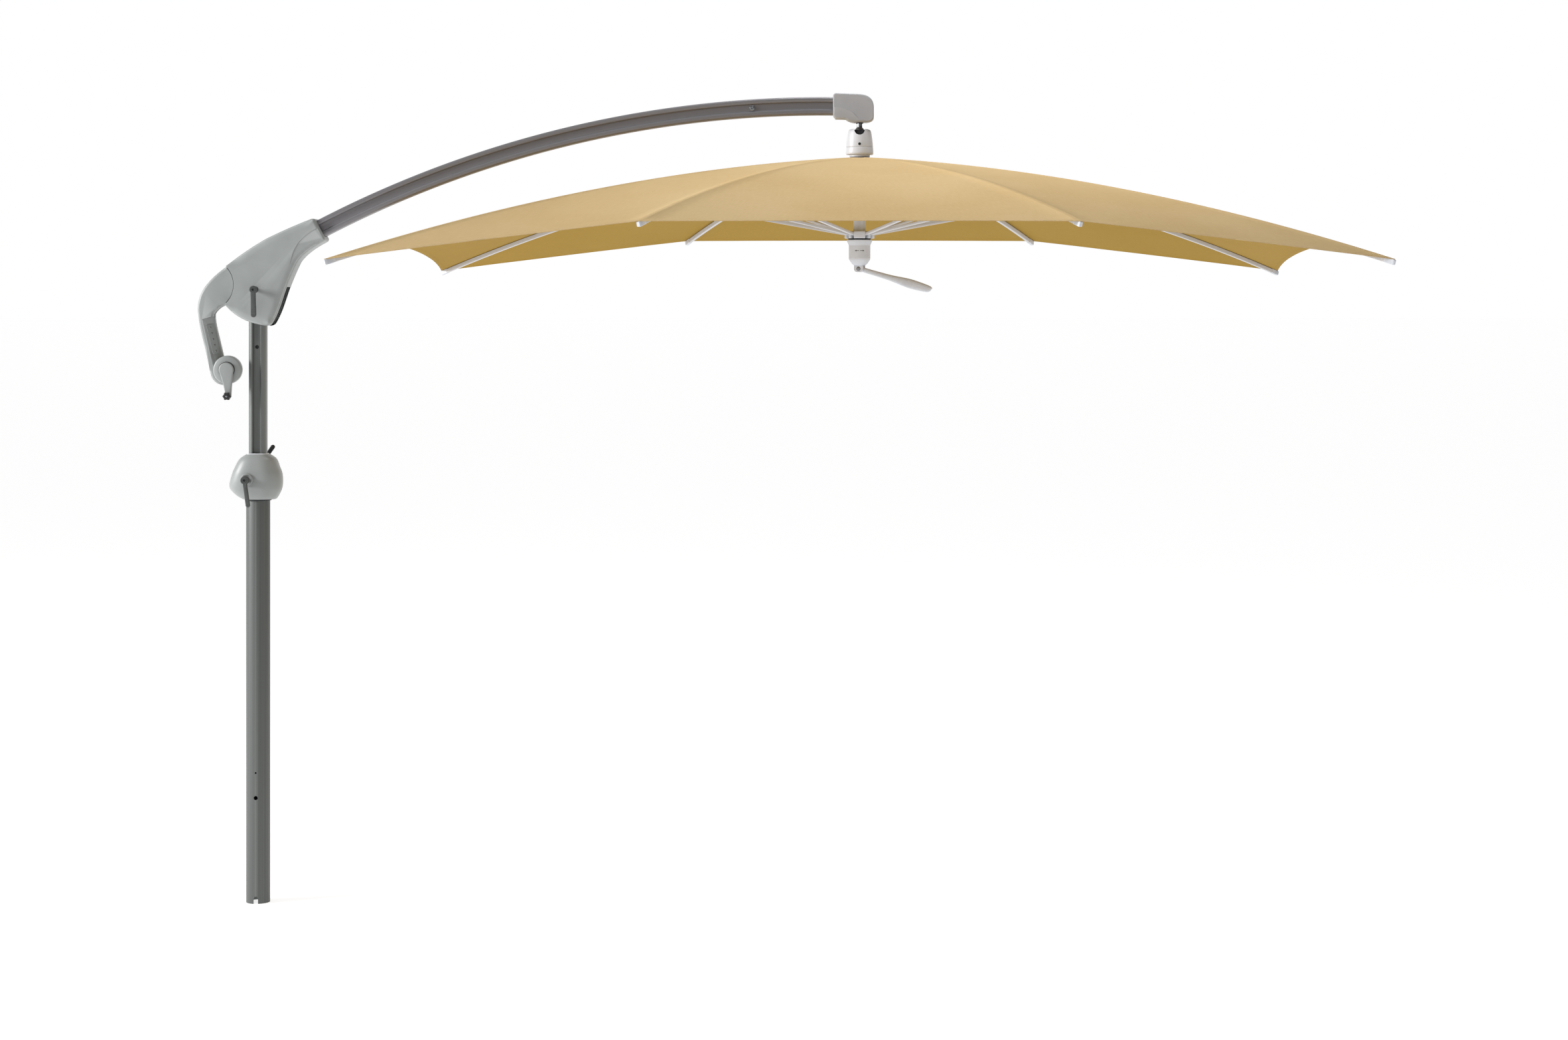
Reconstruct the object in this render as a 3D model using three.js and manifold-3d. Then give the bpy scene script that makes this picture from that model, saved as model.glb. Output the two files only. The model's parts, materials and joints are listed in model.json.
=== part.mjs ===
/**
 * Cantilever parasol with a rectangular canopy of 3.5 m by 2.6 m.
 *
 * Millimetres, +Z up. The origin is the centre of the mast's foot. +X points along the boom to
 * the canopy, and -Y is the side with the crank. Every piece is modelled in place, so no mesh
 * needs a transform of its own. Fixed neighbours keep GAP between them.
 */
import * as THREE from 'three';
import { mergeVertices } from 'three/addons/utils/BufferGeometryUtils.js';
import Module from 'manifold-3d';

const wasm = await Module();
wasm.setup();

// ---------------------------------------------------------------- driving dimensions

const GAP = 0.3;
const PARTING = 0.2; // half of the gap between two half shells

const LOWER_MAST = { radius: 44, wall: 3.5, top: 1600 };
const MAST_FOOT = {
  slotWidth: 17,
  slotTop: 27,
  keyHole: { z: 393, radius: 7.5 },
  pinHole: { z: 486, radius: 3.3 },
};
const UPPER_MAST = { width: 64, depth: 56, corner: 9, bottom: 1150, top: 2215 };
const MAST_HOLLOW = { width: 56, depth: 30 };
const MAST_GROOVE = { width: 30, depth: 9 };
const MAST_STOP_HOLE = { z: 2067, radius: 7 };
const BUSH = { width: 84, depth: 76, corner: 12, bottom: 1602, top: 1655 };

const PIVOT_Z = 2280; // the boom tilts about the Y axis at this height
const AXLE_RADIUS = 12;
const WALL = 6; // of the cast and moulded housings

const CHEEK = 52; // half depth of the head housing
const ARM = { half: 28, bossX: -123, bossZ: 1976, bossRadius: 51 };
// The slanted inner side of the arm: where its edge starts, its lean from the vertical in degrees, its
// width and depth across, its ends along the edge, and the cover on it.
const ARM_FACET = {
  x: -131,
  z: 2033.7,
  lean: 13.3,
  width: 38,
  depth: 28,
  bottom: -45,
  top: 150,
  cover: { half: 15, thickness: 3, bottom: 12, top: 124 },
};
const ARM_TOP = { x: -179, z: 2298, radius: 97, from: -0.86, to: 0.8 };
const CRANK = {
  x: -104, z: 1982.5, throwX: 8, throwZ: -97, front: -74, back: -61, hub: 27.5, end: 11, shaft: 6,
};
const KNOB = { radius: 13.9, lobe: 1.5, lobes: 6, front: -104, back: -74.5, spindle: 4 };
const GEAR_CAN = { front: -60, step: 4, radius: 52.6, frontRadius: 49, bore: 46 };
const WORM = { x: -194.5, z: 2232, radius: 9, half: 13 };
const SECTOR = { from: 174, to: 200, half: 6, hub: 30, rim: 22 }; // degrees about the pivot, half thickness

// Where each clamp lever turns, what it is made of along Y from the housing outwards, and its tip.
const CLAMP = {
  slide: { x: -27.5, z: 1576, stem: 7, depths: [-50, -88, -114], boss: 15, tip: [-14, 1476], tipHalf: 8 },
  turn: { x: -19, z: 1614, stem: 7, depths: [50, 84, 108], boss: 14, tip: [38, 1696], tipHalf: 8 },
  tilt: { x: 0, z: PIVOT_Z, stem: 9, depths: [-52.3, -74, -95], boss: 13.8, tip: [2, 2177], tipHalf: 10 },
};
const CLAMP_ARM_DEPTH = 11;

const BOOM = { centreX: 2100, centreZ: -1077, radius: 4040, startX: 150, endX: 2148, height: 66, width: 56 };
const BOOM_HOLLOW = { height: 60, width: 34 };
const BOOM_GROOVE = { width: 30, depth: 8 };
const BOOM_FIT = 1; // around the boom in the head and in the end cap
const END_CAP_HALF = 42;

const AXIS_X = 2240; // centre line of the canopy
const BALL = { z: 2868, radius: 19, seatInner: 19.7, seatOuter: 25.6, socket: 27, stem: 10, stemTop: 2926 };
const NUT = { radius: 17, bottom: 2910, top: 2922 }; // holds the ball's stem in the end cap
const BELL = {
  top: 2877, topRadius: 41, bottom: 2810.5, bottomRadius: 50, mouth: 20, slotHalf: 19, slotBottom: 2855,
};

const CANOPY = { halfLength: 1750, halfWidth: 1300, innerRatio: 0.414, apex: 2774, hole: 45, sheet: 1.2 };
const APEX_SLOPE = 0.068;
const CURVATURE = { middle: 0.0657e-3, corner: 0.0539e-3, inner: 0.0806e-3 };
const HEM_SCALLOP = { side: 0.02, front: 0.006 }; // inward, as a part of the rib's length

const RIB = { width: 12, height: 16, wall: 1.2, belowFabric: 12, rootRadius: 40, shortOfTip: 12 };
const STRUT = { width: 12, height: 10, wall: 1.5, overhang: 6 };
const LUG = { radius: 8, half: 2.5 }; // below each rib, for its strut
// The strut meets its rib half way between the crown's and the runner's heights, so rib and strut
// are equal links and the runner stays on the pole's line at every angle of the fold.
const LINK = { pivotRadius: 46, crownZ: 2762, runnerZ: 2486, ribRadius: 820 };
const LINK_RIB_Z = (LINK.crownZ + LINK.runnerZ) / 2;
const HUB = { radius: 56, slotWidth: 13, slotRoot: 33, crown: [2744, 2767], runner: [2471, 2497] };
const POLE = { radius: 23, wall: 3, bottom: 2478, top: 2790 };
const RUNNER_PLAY = 1.5; // between the runner's bore and the pole
const PADDLE = { z: 2358, azimuth: -18, droop: 16, length: 292 };

// ---------------------------------------------------------------- materials

const finish = (color, roughness, metalness) => (
  new THREE.MeshStandardMaterial({ color, roughness, metalness })
);
const MATERIAL = {
  darkAluminium: finish(0x45474a, 0.45, 0.8),
  bareAluminium: finish(0xb4b6b8, 0.4, 0.9),
  greyCasting: finish(0xa8aead, 0.55, 0.2),
  fittingGrey: finish(0xc0c0c2, 0.5, 0),
  leverGrey: finish(0x505357, 0.6, 0),
  blackPlastic: finish(0x1d1e20, 0.55, 0),
  steel: finish(0x8b8e91, 0.35, 1),
  bronze: finish(0xa98650, 0.4, 0.9),
  fabric: finish(0xcfb383, 0.95, 0),
  ribGrey: finish(0xbcbcc0, 0.5, 0.2),
};

// ---------------------------------------------------------------- solids

/** A closed three.js geometry as a solid, with its faces pointing out. */
function toSolid(geometry) {
  const bare = new THREE.BufferGeometry();
  bare.setAttribute('position', geometry.getAttribute('position'));
  bare.setIndex(geometry.getIndex());
  const merged = mergeVertices(bare, 1e-3);
  const corners = merged.getIndex().array;
  const kept = [];
  for (let i = 0; i < corners.length; i += 3) {
    const [a, b, c] = corners.slice(i, i + 3);
    if (a !== b && b !== c && c !== a) kept.push([a, b, c]);
  }
  const vertProperties = Float32Array.from(merged.getAttribute('position').array);
  const build = (faces) => new wasm.Manifold(new wasm.Mesh({
    numProp: 3,
    vertProperties,
    triVerts: Uint32Array.from(faces.flat()),
  }));
  const solid = build(kept);
  return solid.volume() > 0 ? solid : build(kept.map(([a, b, c]) => [a, c, b]));
}

function toGeometry(solid) {
  const mesh = solid.getMesh();
  const geometry = new THREE.BufferGeometry();
  geometry.setAttribute('position', new THREE.BufferAttribute(mesh.vertProperties, 3));
  geometry.setIndex(new THREE.BufferAttribute(mesh.triVerts, 1));
  return geometry;
}

const join = (...solids) => solids.reduce((whole, solid) => whole.add(solid));
const cut = (body, ...tools) => tools.reduce((rest, tool) => rest.subtract(tool), body);

function block([x0, x1], [y0, y1], [z0, z1]) {
  const box = new THREE.BoxGeometry(x1 - x0, y1 - y0, z1 - z0);
  return toSolid(box.translate((x0 + x1) / 2, (y0 + y1) / 2, (z0 + z1) / 2));
}

/** A round bar along Y, between two values of y. */
function barY(radius, x, z, y0, y1, sides = 24) {
  const bar = new THREE.CylinderGeometry(radius, radius, y1 - y0, sides);
  return toSolid(bar.translate(x, (y0 + y1) / 2, z));
}

/** A round bar along Z, between two heights. */
function barZ(radius, x, z0, z1, sides = 32) {
  const bar = new THREE.CylinderGeometry(radius, radius, z1 - z0, sides);
  return toSolid(bar.rotateX(Math.PI / 2).translate(x, 0, (z0 + z1) / 2));
}

/** A round bar between two points of the XZ plane. */
function barBetween(radius, [x0, z0], [x1, z1], sides = 12) {
  const from = new THREE.Vector3(x0, 0, z0);
  const along = new THREE.Vector3(x1, 0, z1).sub(from);
  const bar = new THREE.CylinderGeometry(radius, radius, along.length(), sides);
  const up = new THREE.Vector3(0, 1, 0);
  const turn = new THREE.Quaternion().setFromUnitVectors(up, along.clone().normalize());
  return toSolid(bar.applyQuaternion(turn).translate(...from.addScaledVector(along, 0.5)));
}

/** A turned solid about the Z axis at x, from [radius, z] points. */
function turned(profile, x, sides = 32) {
  const points = profile.map(([r, z]) => new THREE.Vector2(r, z));
  return toSolid(new THREE.LatheGeometry(points, sides).rotateX(Math.PI / 2).translate(x, 0, 0));
}

function ball(radius, x, z) {
  return toSolid(new THREE.SphereGeometry(radius, 20, 12).translate(x, 0, z));
}

/** A plate: an outline of the XZ plane, given depth from y0 to y1. */
function plate(shape, y0, y1, curveSegments = 12) {
  const slab = new THREE.ExtrudeGeometry(shape, { depth: y1 - y0, bevelEnabled: false, curveSegments });
  return toSolid(slab.rotateX(Math.PI / 2).translate(0, y1, 0));
}

/** The points of a shape, anticlockwise and at least a spacing apart. */
function outline(shape, spacing = 6) {
  const kept = [];
  for (const point of shape.getPoints(8)) {
    if (kept.every((other) => other.distanceTo(point) > spacing)) kept.push(point);
  }
  return THREE.ShapeUtils.isClockWise(kept) ? kept.reverse() : kept;
}

/** An outline moved inwards by a distance, point by point. */
function insetPoints(points, distance) {
  const count = points.length;
  return points.map((point, i) => {
    const before = point.clone().sub(points[(i + count - 1) % count]).normalize();
    const after = points[(i + 1) % count].clone().sub(point).normalize();
    const inwards = new THREE.Vector2(-before.y - after.y, before.x + after.x).normalize();
    const stretch = Math.max(inwards.dot(new THREE.Vector2(-before.y, before.x)), 0.7);
    return point.clone().addScaledVector(inwards, distance / stretch);
  });
}

/** A plate through levels of [y, distance inside the outline], from the greatest y down. */
function levelledPlate(shape, levels) {
  const points = outline(shape);
  const count = points.length;
  const ring = ([y, distance]) => insetPoints(points, distance).map((p) => new THREE.Vector3(p.x, y, p.y));
  const rings = levels.map(ring);
  const last = (rings.length - 1) * count;
  const caps = THREE.ShapeUtils.triangulateShape(points, []);
  const faces = caps.flatMap(([a, b, c]) => [a, c, b, last + a, last + b, last + c]);
  for (let i = 0; i < count; i += 1) {
    const next = (i + 1) % count;
    for (let base = 0; base < last; base += count) {
      faces.push(base + i, base + next, base + count + next, base + i, base + count + next, base + count + i);
    }
  }
  return toSolid(indexed(rings.flat(), faces));
}

const bevelledPlate = (shape, y0, y1, bevel) => levelledPlate(shape, [
  [y1, bevel], [y1 - bevel, 0], [y0 + bevel, 0], [y0, bevel],
]);
const hollowOf = (shape, half) => levelledPlate(shape, [[half - WALL, WALL], [WALL - half, WALL]]);

function indexed(vertices, faces) {
  const geometry = new THREE.BufferGeometry();
  geometry.setAttribute('position', new THREE.Float32BufferAttribute(vertices.flatMap((p) => [...p]), 3));
  geometry.setIndex(faces);
  return geometry;
}

function polygon(points) {
  return new THREE.Shape(points.map(([x, z]) => new THREE.Vector2(x, z)));
}

/** A rectangle with round corners and, where it has them, a groove in its left and right sides. */
function section(width, height, corner, groove) {
  const [w, h, r] = [width / 2, height / 2, corner];
  const shape = new THREE.Shape();
  shape.moveTo(w, -h + r);
  if (groove) addGroove(shape, w, groove, 1);
  shape.absarc(w - r, h - r, r, 0, Math.PI / 2, false);
  shape.absarc(-w + r, h - r, r, Math.PI / 2, Math.PI, false);
  if (groove) addGroove(shape, -w, groove, -1);
  shape.absarc(-w + r, -h + r, r, Math.PI, 1.5 * Math.PI, false);
  shape.absarc(w - r, -h + r, r, 1.5 * Math.PI, 2 * Math.PI, false);
  return shape;
}

function addGroove(shape, x, groove, direction) {
  const edge = groove.width / 2;
  const floor = edge - groove.depth / 3;
  shape.lineTo(x, -direction * edge);
  shape.lineTo(x - direction * groove.depth, -direction * floor);
  shape.lineTo(x - direction * groove.depth, direction * floor);
  shape.lineTo(x, direction * edge);
}

/** A tube or bar along Z, from a section drawn in X and Y. */
function upright(shape, x, z0, z1, curveSegments = 3) {
  const bar = new THREE.ExtrudeGeometry(shape, { depth: z1 - z0, bevelEnabled: false, curveSegments });
  return toSolid(bar.translate(x, 0, z0));
}

/** A solid through rings of points, with a flat end at each side. */
function loft(rings) {
  const sides = rings[0].length;
  const centre = (ring) => ring.reduce((sum, p) => sum.add(p), new THREE.Vector3()).divideScalar(sides);
  const vertices = [...rings.flat(), centre(rings[0]), centre(rings[rings.length - 1])];
  const firstCentre = vertices.length - 2;
  const lastRing = (rings.length - 1) * sides;
  const faces = [];
  for (let i = 0; i < sides; i += 1) {
    const next = (i + 1) % sides;
    for (let base = 0; base < lastRing; base += sides) {
      faces.push(base + i, base + next, base + sides + next, base + i, base + sides + next, base + sides + i);
    }
    faces.push(firstCentre, next, i, firstCentre + 1, lastRing + i, lastRing + next);
  }
  return toSolid(indexed(vertices, faces));
}

/** A level ring between two limits of x, squarer than an ellipse. */
function squareRing(z, left, right, halfDepth, sides = 24) {
  const power = 0.75;
  const bend = (value) => Math.sign(value) * Math.abs(value) ** power;
  return Array.from({ length: sides }, (_, i) => {
    const angle = (2 * Math.PI * i) / sides;
    const x = (left + right) / 2 + ((right - left) / 2) * bend(Math.cos(angle));
    return new THREE.Vector3(x, halfDepth * bend(Math.sin(angle)), z);
  });
}

/** Everything on one side of the parting plane: side is -1 for the crank side. */
function halfSpace(side) {
  const far = side * 400;
  return block([-600, 600], [Math.min(side * PARTING, far), Math.max(side * PARTING, far)], [1000, 3000]);
}

const root = new THREE.Group();

function add(name, solid, material) {
  const mesh = new THREE.Mesh(toGeometry(solid), material);
  mesh.name = name;
  root.add(mesh);
}

// ---------------------------------------------------------------- mast

function lowerMast() {
  const { radius, wall, top } = LOWER_MAST;
  const { slotWidth, slotTop, keyHole, pinHole } = MAST_FOOT;
  const reach = radius + 5;
  const slot = slotWidth / 2;
  return cut(
    barZ(radius, 0, 0, top, 48),
    barZ(radius - wall, 0, -1, top + 1, 48),
    block([-slot, slot], [-reach, reach], [-1, slotTop - slot]),
    barY(slot, 0, slotTop - slot, -reach, reach, 16),
    barY(keyHole.radius, 0, keyHole.z, -reach, reach, 16),
    barY(pinHole.radius, 0, pinHole.z, -reach, reach, 10),
  );
}

/** The upper mast's section: its grooves lie in the faces towards -Y and +Y. */
function mastSection(extra = 0, groove = null) {
  const { width, depth, corner } = UPPER_MAST;
  const side = section(depth + 2 * extra, width + 2 * extra, corner + extra, groove);
  return new THREE.Shape(side.getPoints(4).map((p) => new THREE.Vector2(-p.y, p.x)));
}

function upperMast() {
  const { bottom, top } = UPPER_MAST;
  return cut(
    upright(mastSection(0, MAST_GROOVE), 0, bottom, top),
    upright(section(MAST_HOLLOW.width, MAST_HOLLOW.depth, 3), 0, bottom - 1, top + 1),
    barY(MAST_STOP_HOLE.radius, 0, MAST_STOP_HOLE.z, -60, 60, 16),
  );
}

/** Left and right limit and half depth of the joint housing at each height. */
const JOINT_LEVELS = [
  { z: 1501, left: -54, right: 67, depth: 52 },
  { z: 1516, left: -79, right: 77, depth: 61 },
  { z: 1546, left: -104, right: 89, depth: 68 },
  { z: 1590, left: -96, right: 89, depth: 70 },
  { z: 1620, left: -84, right: 79, depth: 66 },
  { z: 1650, left: -67, right: 67, depth: 57 },
  { z: 1668, left: -42, right: 42, depth: 42 },
];

function jointHousing(side) {
  const outer = JOINT_LEVELS.map(({ z, left, right, depth }) => squareRing(z, left, right, depth));
  const inner = JOINT_LEVELS.map(({ z, left, right, depth }, i) => {
    const level = i === 0 ? z + WALL : Math.min(z, JOINT_LEVELS[JOINT_LEVELS.length - 1].z - WALL);
    return squareRing(level, left + WALL, right - WALL, depth - WALL);
  });
  const { slide, turn } = CLAMP;
  const shell = cut(
    loft(outer),
    loft(inner),
    barZ(LOWER_MAST.radius + 0.6, 0, 1490, 1510, 48),
    upright(mastSection(0.5), 0, 1655, 1680),
    barY(slide.stem + 0.4, slide.x, slide.z, -90, 0, 16),
    barY(turn.stem + 0.4, turn.x, turn.z, 0, 90, 16),
  );
  return shell.intersect(halfSpace(side));
}

function slideBush() {
  const { width, depth, corner, bottom, top } = BUSH;
  return cut(
    upright(section(width, depth, corner), 0, bottom, top),
    upright(mastSection(GAP + 0.1), 0, bottom - 1, top + 1),
  );
}

/** A clamp lever: a stem along Y into the housing, a round boss, and an arm from the boss to its tip. */
function clampLever({ x, z, stem, depths, boss, tip, tipHalf }) {
  const [stemFrom, bossFrom, bossTo] = depths;
  const outwards = Math.sign(bossTo - bossFrom);
  const along = new THREE.Vector2(tip[0] - x, tip[1] - z);
  const across = new THREE.Vector2(-along.y, along.x).normalize();
  const at = (t, offset) => [x + along.x * t + across.x * offset, z + along.y * t + across.y * offset];
  const edge = [[0, boss * 0.8], [0.25, boss * 0.62], [0.7, tipHalf], [0.96, tipHalf], [1, tipHalf * 0.6]];
  const arm = polygon([
    ...edge.map(([t, offset]) => at(t, -offset)),
    ...edge.reverse().map(([t, offset]) => at(t, offset)),
  ]);
  const span = (a, b) => [Math.min(a, b), Math.max(a, b)];
  return join(
    barY(stem, x, z, ...span(stemFrom, bossFrom + outwards), 16),
    barY(boss, x, z, ...span(bossFrom, bossTo)),
    plate(arm, ...span(bossTo - outwards * CLAMP_ARM_DEPTH, bossTo)),
  );
}

/** The block that plugs into the upper mast and carries the boom's pivot. */
function mastHeadBlock() {
  const shoulder = UPPER_MAST.top + GAP;
  const hollow = MAST_HOLLOW;
  const slot = SECTOR.half + GAP;
  return cut(
    join(
      block([-30, 30], [-26, 26], [shoulder, PIVOT_Z]),
      barY(34, 0, PIVOT_Z, -26, 26, 32),
      block([-hollow.width / 2 + 2, hollow.width / 2 - 2], [-hollow.depth / 2 + 1, hollow.depth / 2 - 1],
        [shoulder - 75, shoulder + 1]),
    ),
    barY(AXLE_RADIUS + GAP, 0, PIVOT_Z, -30, 30),
    block([-50, 50], [-slot, slot], [PIVOT_Z - 33, PIVOT_Z + 50]),
  );
}

const WORM_RADIUS_FROM_PIVOT = Math.hypot(WORM.x, WORM.z - PIVOT_Z);
const SECTOR_RADIUS = WORM_RADIUS_FROM_PIVOT - WORM.radius - GAP;

/** A pie slice about the pivot, between two angles in degrees. */
function pie(radius, from, to, y0, y1) {
  const [start, end] = [from, to].map(THREE.MathUtils.degToRad);
  const shape = new THREE.Shape();
  shape.moveTo(0, PIVOT_Z);
  shape.lineTo(radius * Math.cos(start), PIVOT_Z + radius * Math.sin(start));
  shape.absarc(0, PIVOT_Z, radius, start, end, false);
  return plate(shape, y0, y1, 16);
}

/** The toothed sector that the worm climbs: the tooth form is left plain, at its outer radius. */
function wormSector() {
  const { from, to, half, hub, rim } = SECTOR;
  return cut(
    join(pie(SECTOR_RADIUS, from, to, -half, half), barY(hub, 0, PIVOT_Z, -half, half, 28)),
    barY(AXLE_RADIUS + GAP, 0, PIVOT_Z, -30, 30),
    pie(SECTOR_RADIUS - rim, from + 6, to - 6, -30, 30).subtract(barY(2 * hub - 2, 0, PIVOT_Z, -40, 40)),
  );
}

/** The space that the sector sweeps in the head and the arm, over the whole tilt. */
function sectorSweep() {
  return pie(SECTOR_RADIUS + 1, SECTOR.from - 4, SECTOR.to + 17, -SECTOR.half - 0.6, SECTOR.half + 0.6);
}

// ---------------------------------------------------------------- head, arm and crank

/** The point of a circle about the arm's round top, at an angle in radians. */
function onArmTop(radius, angle) {
  return [ARM_TOP.x + radius * Math.cos(angle), ARM_TOP.z + radius * Math.sin(angle)];
}

/** The head housing from the side, with a round hollow in its back for the arm. */
function headShape() {
  const radius = ARM_TOP.radius + 2 * GAP;
  const shape = new THREE.Shape();
  shape.moveTo(...onArmTop(radius, ARM_TOP.to));
  shape.quadraticCurveTo(-42, 2423, 34.6, 2467.7);
  shape.quadraticCurveTo(120, 2510, 205, 2543);
  shape.quadraticCurveTo(217, 2546, 222, 2536);
  shape.lineTo(256, 2471);
  shape.quadraticCurveTo(258, 2463, 250, 2458);
  shape.quadraticCurveTo(178, 2420, 153, 2381);
  shape.quadraticCurveTo(128, 2330, 108.7, 2276.4);
  shape.lineTo(92.2, 2226.7);
  shape.quadraticCurveTo(76, 2180, 60, 2155);
  shape.quadraticCurveTo(52, 2144, 36, 2146);
  shape.quadraticCurveTo(-62, 2158, ...onArmTop(radius, ARM_TOP.from));
  shape.absarc(ARM_TOP.x, ARM_TOP.z, radius, ARM_TOP.from, ARM_TOP.to, false);
  return shape;
}

function boomPath(fromX, toX) {
  const { centreX, centreZ, radius } = BOOM;
  const angle = (x) => Math.acos((x - centreX) / radius);
  const curve = new THREE.Curve();
  curve.getPoint = (t, target = new THREE.Vector3()) => {
    const a = THREE.MathUtils.lerp(angle(fromX), angle(toX), t);
    return target.set(centreX + radius * Math.cos(a), 0, centreZ + radius * Math.sin(a));
  };
  return curve;
}

const boomSection = (extra, groove) => section(BOOM.width + 2 * extra, BOOM.height + 2 * extra, 8, groove);

/** A section swept along the boom's arc, between two values of x. */
function alongBoom(shape, fromX, toX, steps) {
  const extrudePath = boomPath(fromX, toX);
  return toSolid(new THREE.ExtrudeGeometry(shape, { extrudePath, steps, curveSegments: 1 }));
}

function headShell(side) {
  const outer = bevelledPlate(headShape(), -CHEEK, CHEEK, 5);
  const hollow = hollowOf(headShape(), CHEEK);
  const swing = UPPER_MAST.depth / 2 + 3;
  const mastSwing = block([-42, 160], [-swing, swing], [2100, PIVOT_Z + 10]);
  const boomPocket = alongBoom(boomSection(BOOM_FIT), BOOM.startX - 20, 300, 4);
  return cut(
    outer,
    hollow,
    mastSwing,
    boomPocket,
    sectorSweep(),
    barY(AXLE_RADIUS + GAP, 0, PIVOT_Z, -60, 60),
  ).intersect(halfSpace(side));
}

/** The crank arm from the side: round at both ends, and bent back between them. */
function armShape() {
  const { x, z, radius, from, to } = ARM_TOP;
  const shape = new THREE.Shape();
  shape.absarc(x, z, radius, from, to, false);
  shape.quadraticCurveTo(-160, 2333, -183, 2304);
  shape.quadraticCurveTo(-221, 2262, -221, 2204.7);
  shape.quadraticCurveTo(-215, 2140, -194.5, 2066.8);
  shape.lineTo(-174, ARM.bossZ - 1);
  shape.absarc(ARM.bossX, ARM.bossZ, ARM.bossRadius, Math.PI, 2 * Math.PI, false);
  shape.quadraticCurveTo(-74, 2010, -131, 2033.7);
  shape.lineTo(-153.2, 2127.4);
  shape.quadraticCurveTo(-164, 2174, -161, 2190);
  shape.quadraticCurveTo(-148, 2214, ...onArmTop(radius, from));
  return shape;
}

/** Direction of the drive shaft, along the worm's axis from the crank's gear up to the worm. */
const SHAFT_UP = new THREE.Vector2(WORM.z - PIVOT_Z, -WORM.x).divideScalar(WORM_RADIUS_FROM_PIVOT);

function onShaft(distance) {
  return [WORM.x + SHAFT_UP.x * distance, WORM.z + SHAFT_UP.y * distance];
}

const SHAFT = { radius: 5, gearRadius: 9, toGear: (CRANK.z - WORM.z) / SHAFT_UP.y };

/** Stand a solid, drawn along Z beside the arm's inner edge, where that edge runs. */
function toArmEdge(solid) {
  const { x, z, lean } = ARM_FACET;
  return solid.rotate([0, -lean, 0]).translate([x, 0, z]);
}

/** The wedge that makes the arm's inner side face the crank's side at a slant, moved in by a distance. */
function armWedge(inwards) {
  const { width, depth, bottom, top } = ARM_FACET;
  const slant = Math.atan2(depth, width);
  const slope = depth / width;
  const [left, right] = [-width - 4, 20];
  const height = (x) => slope * (x + width) - ARM.half;
  const triangle = polygon([[left, height(left)], [right, height(left)], [right, height(right)]]);
  const wedge = upright(triangle, 0, bottom, top);
  const shift = [-inwards * Math.sin(slant), inwards * Math.cos(slant), 0];
  return cut(toArmEdge(wedge.translate(shift)), barY(GEAR_CAN.radius + 1.5, CRANK.x, CRANK.z, -60, 60, 36));
}

function crankArm() {
  return cut(
    bevelledPlate(armShape(), -ARM.half, ARM.half, 4),
    cut(hollowOf(armShape(), ARM.half), armWedge(WALL)),
    armWedge(0),
    sectorSweep(),
    barY(19.5, CRANK.x, CRANK.z, -ARM.half - 1, 0),
    barBetween(SHAFT.radius + 2 * GAP, onShaft(SHAFT.toGear - 15), onShaft(WORM.half + 3)),
  );
}

/** The cover plate on the arm's slanted inner side. */
function armCover() {
  const { width, depth, cover } = ARM_FACET;
  const slant = THREE.MathUtils.radToDeg(Math.atan2(depth, width));
  const sheet = block([-cover.half, cover.half], [-cover.thickness - GAP, -GAP], [cover.bottom, cover.top]);
  return toArmEdge(sheet.rotate([0, 0, slant]).translate([-width / 2, depth / 2 - ARM.half, 0]));
}

function gearHousing() {
  const { front, step, radius, frontRadius, bore } = GEAR_CAN;
  const back = -ARM.half - GAP - 0.1;
  return cut(
    join(
      barY(radius, CRANK.x, CRANK.z, front + step, back, 36),
      barY(frontRadius, CRANK.x, CRANK.z, front, front + step + 1, 36),
    ),
    barY(bore, CRANK.x, CRANK.z, front + WALL, back + 1, 36),
    barY(CRANK.shaft + 0.5, CRANK.x, CRANK.z, front - 1, back + 1, 16),
  );
}

function driveShaft() {
  const { radius, gearRadius, toGear } = SHAFT;
  return join(
    barBetween(radius, onShaft(toGear - 14), onShaft(WORM.half + 2)),
    barBetween(WORM.radius, onShaft(-WORM.half), onShaft(WORM.half), 16),
    barBetween(gearRadius, onShaft(toGear - 10), onShaft(toGear + 10), 16),
  );
}

function crankHandle() {
  const gearRadius = (CRANK.x - onShaft(SHAFT.toGear)[0]) * SHAFT_UP.y - SHAFT.gearRadius - 0.5;
  const end = { x: CRANK.x + CRANK.throwX, z: CRANK.z + CRANK.throwZ };
  const shape = new THREE.Shape();
  shape.absarc(CRANK.x, CRANK.z, CRANK.hub, -0.35, Math.PI + 0.2, false);
  shape.quadraticCurveTo(end.x - 16, end.z + 46, end.x - CRANK.end, end.z);
  shape.absarc(end.x, end.z, CRANK.end, Math.PI, 2 * Math.PI, false);
  shape.quadraticCurveTo(end.x + 13, end.z + 46, CRANK.x + 25.8, CRANK.z - 9.4);
  return cut(
    join(
      plate(shape, CRANK.front, CRANK.back, 8),
      barY(CRANK.shaft, CRANK.x, CRANK.z, CRANK.back - 1, 20, 12),
      barY(gearRadius, CRANK.x, CRANK.z, -8, 8),
    ),
    barY(KNOB.spindle + 0.4, end.x, end.z, -80, -50, 12),
  );
}

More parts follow.
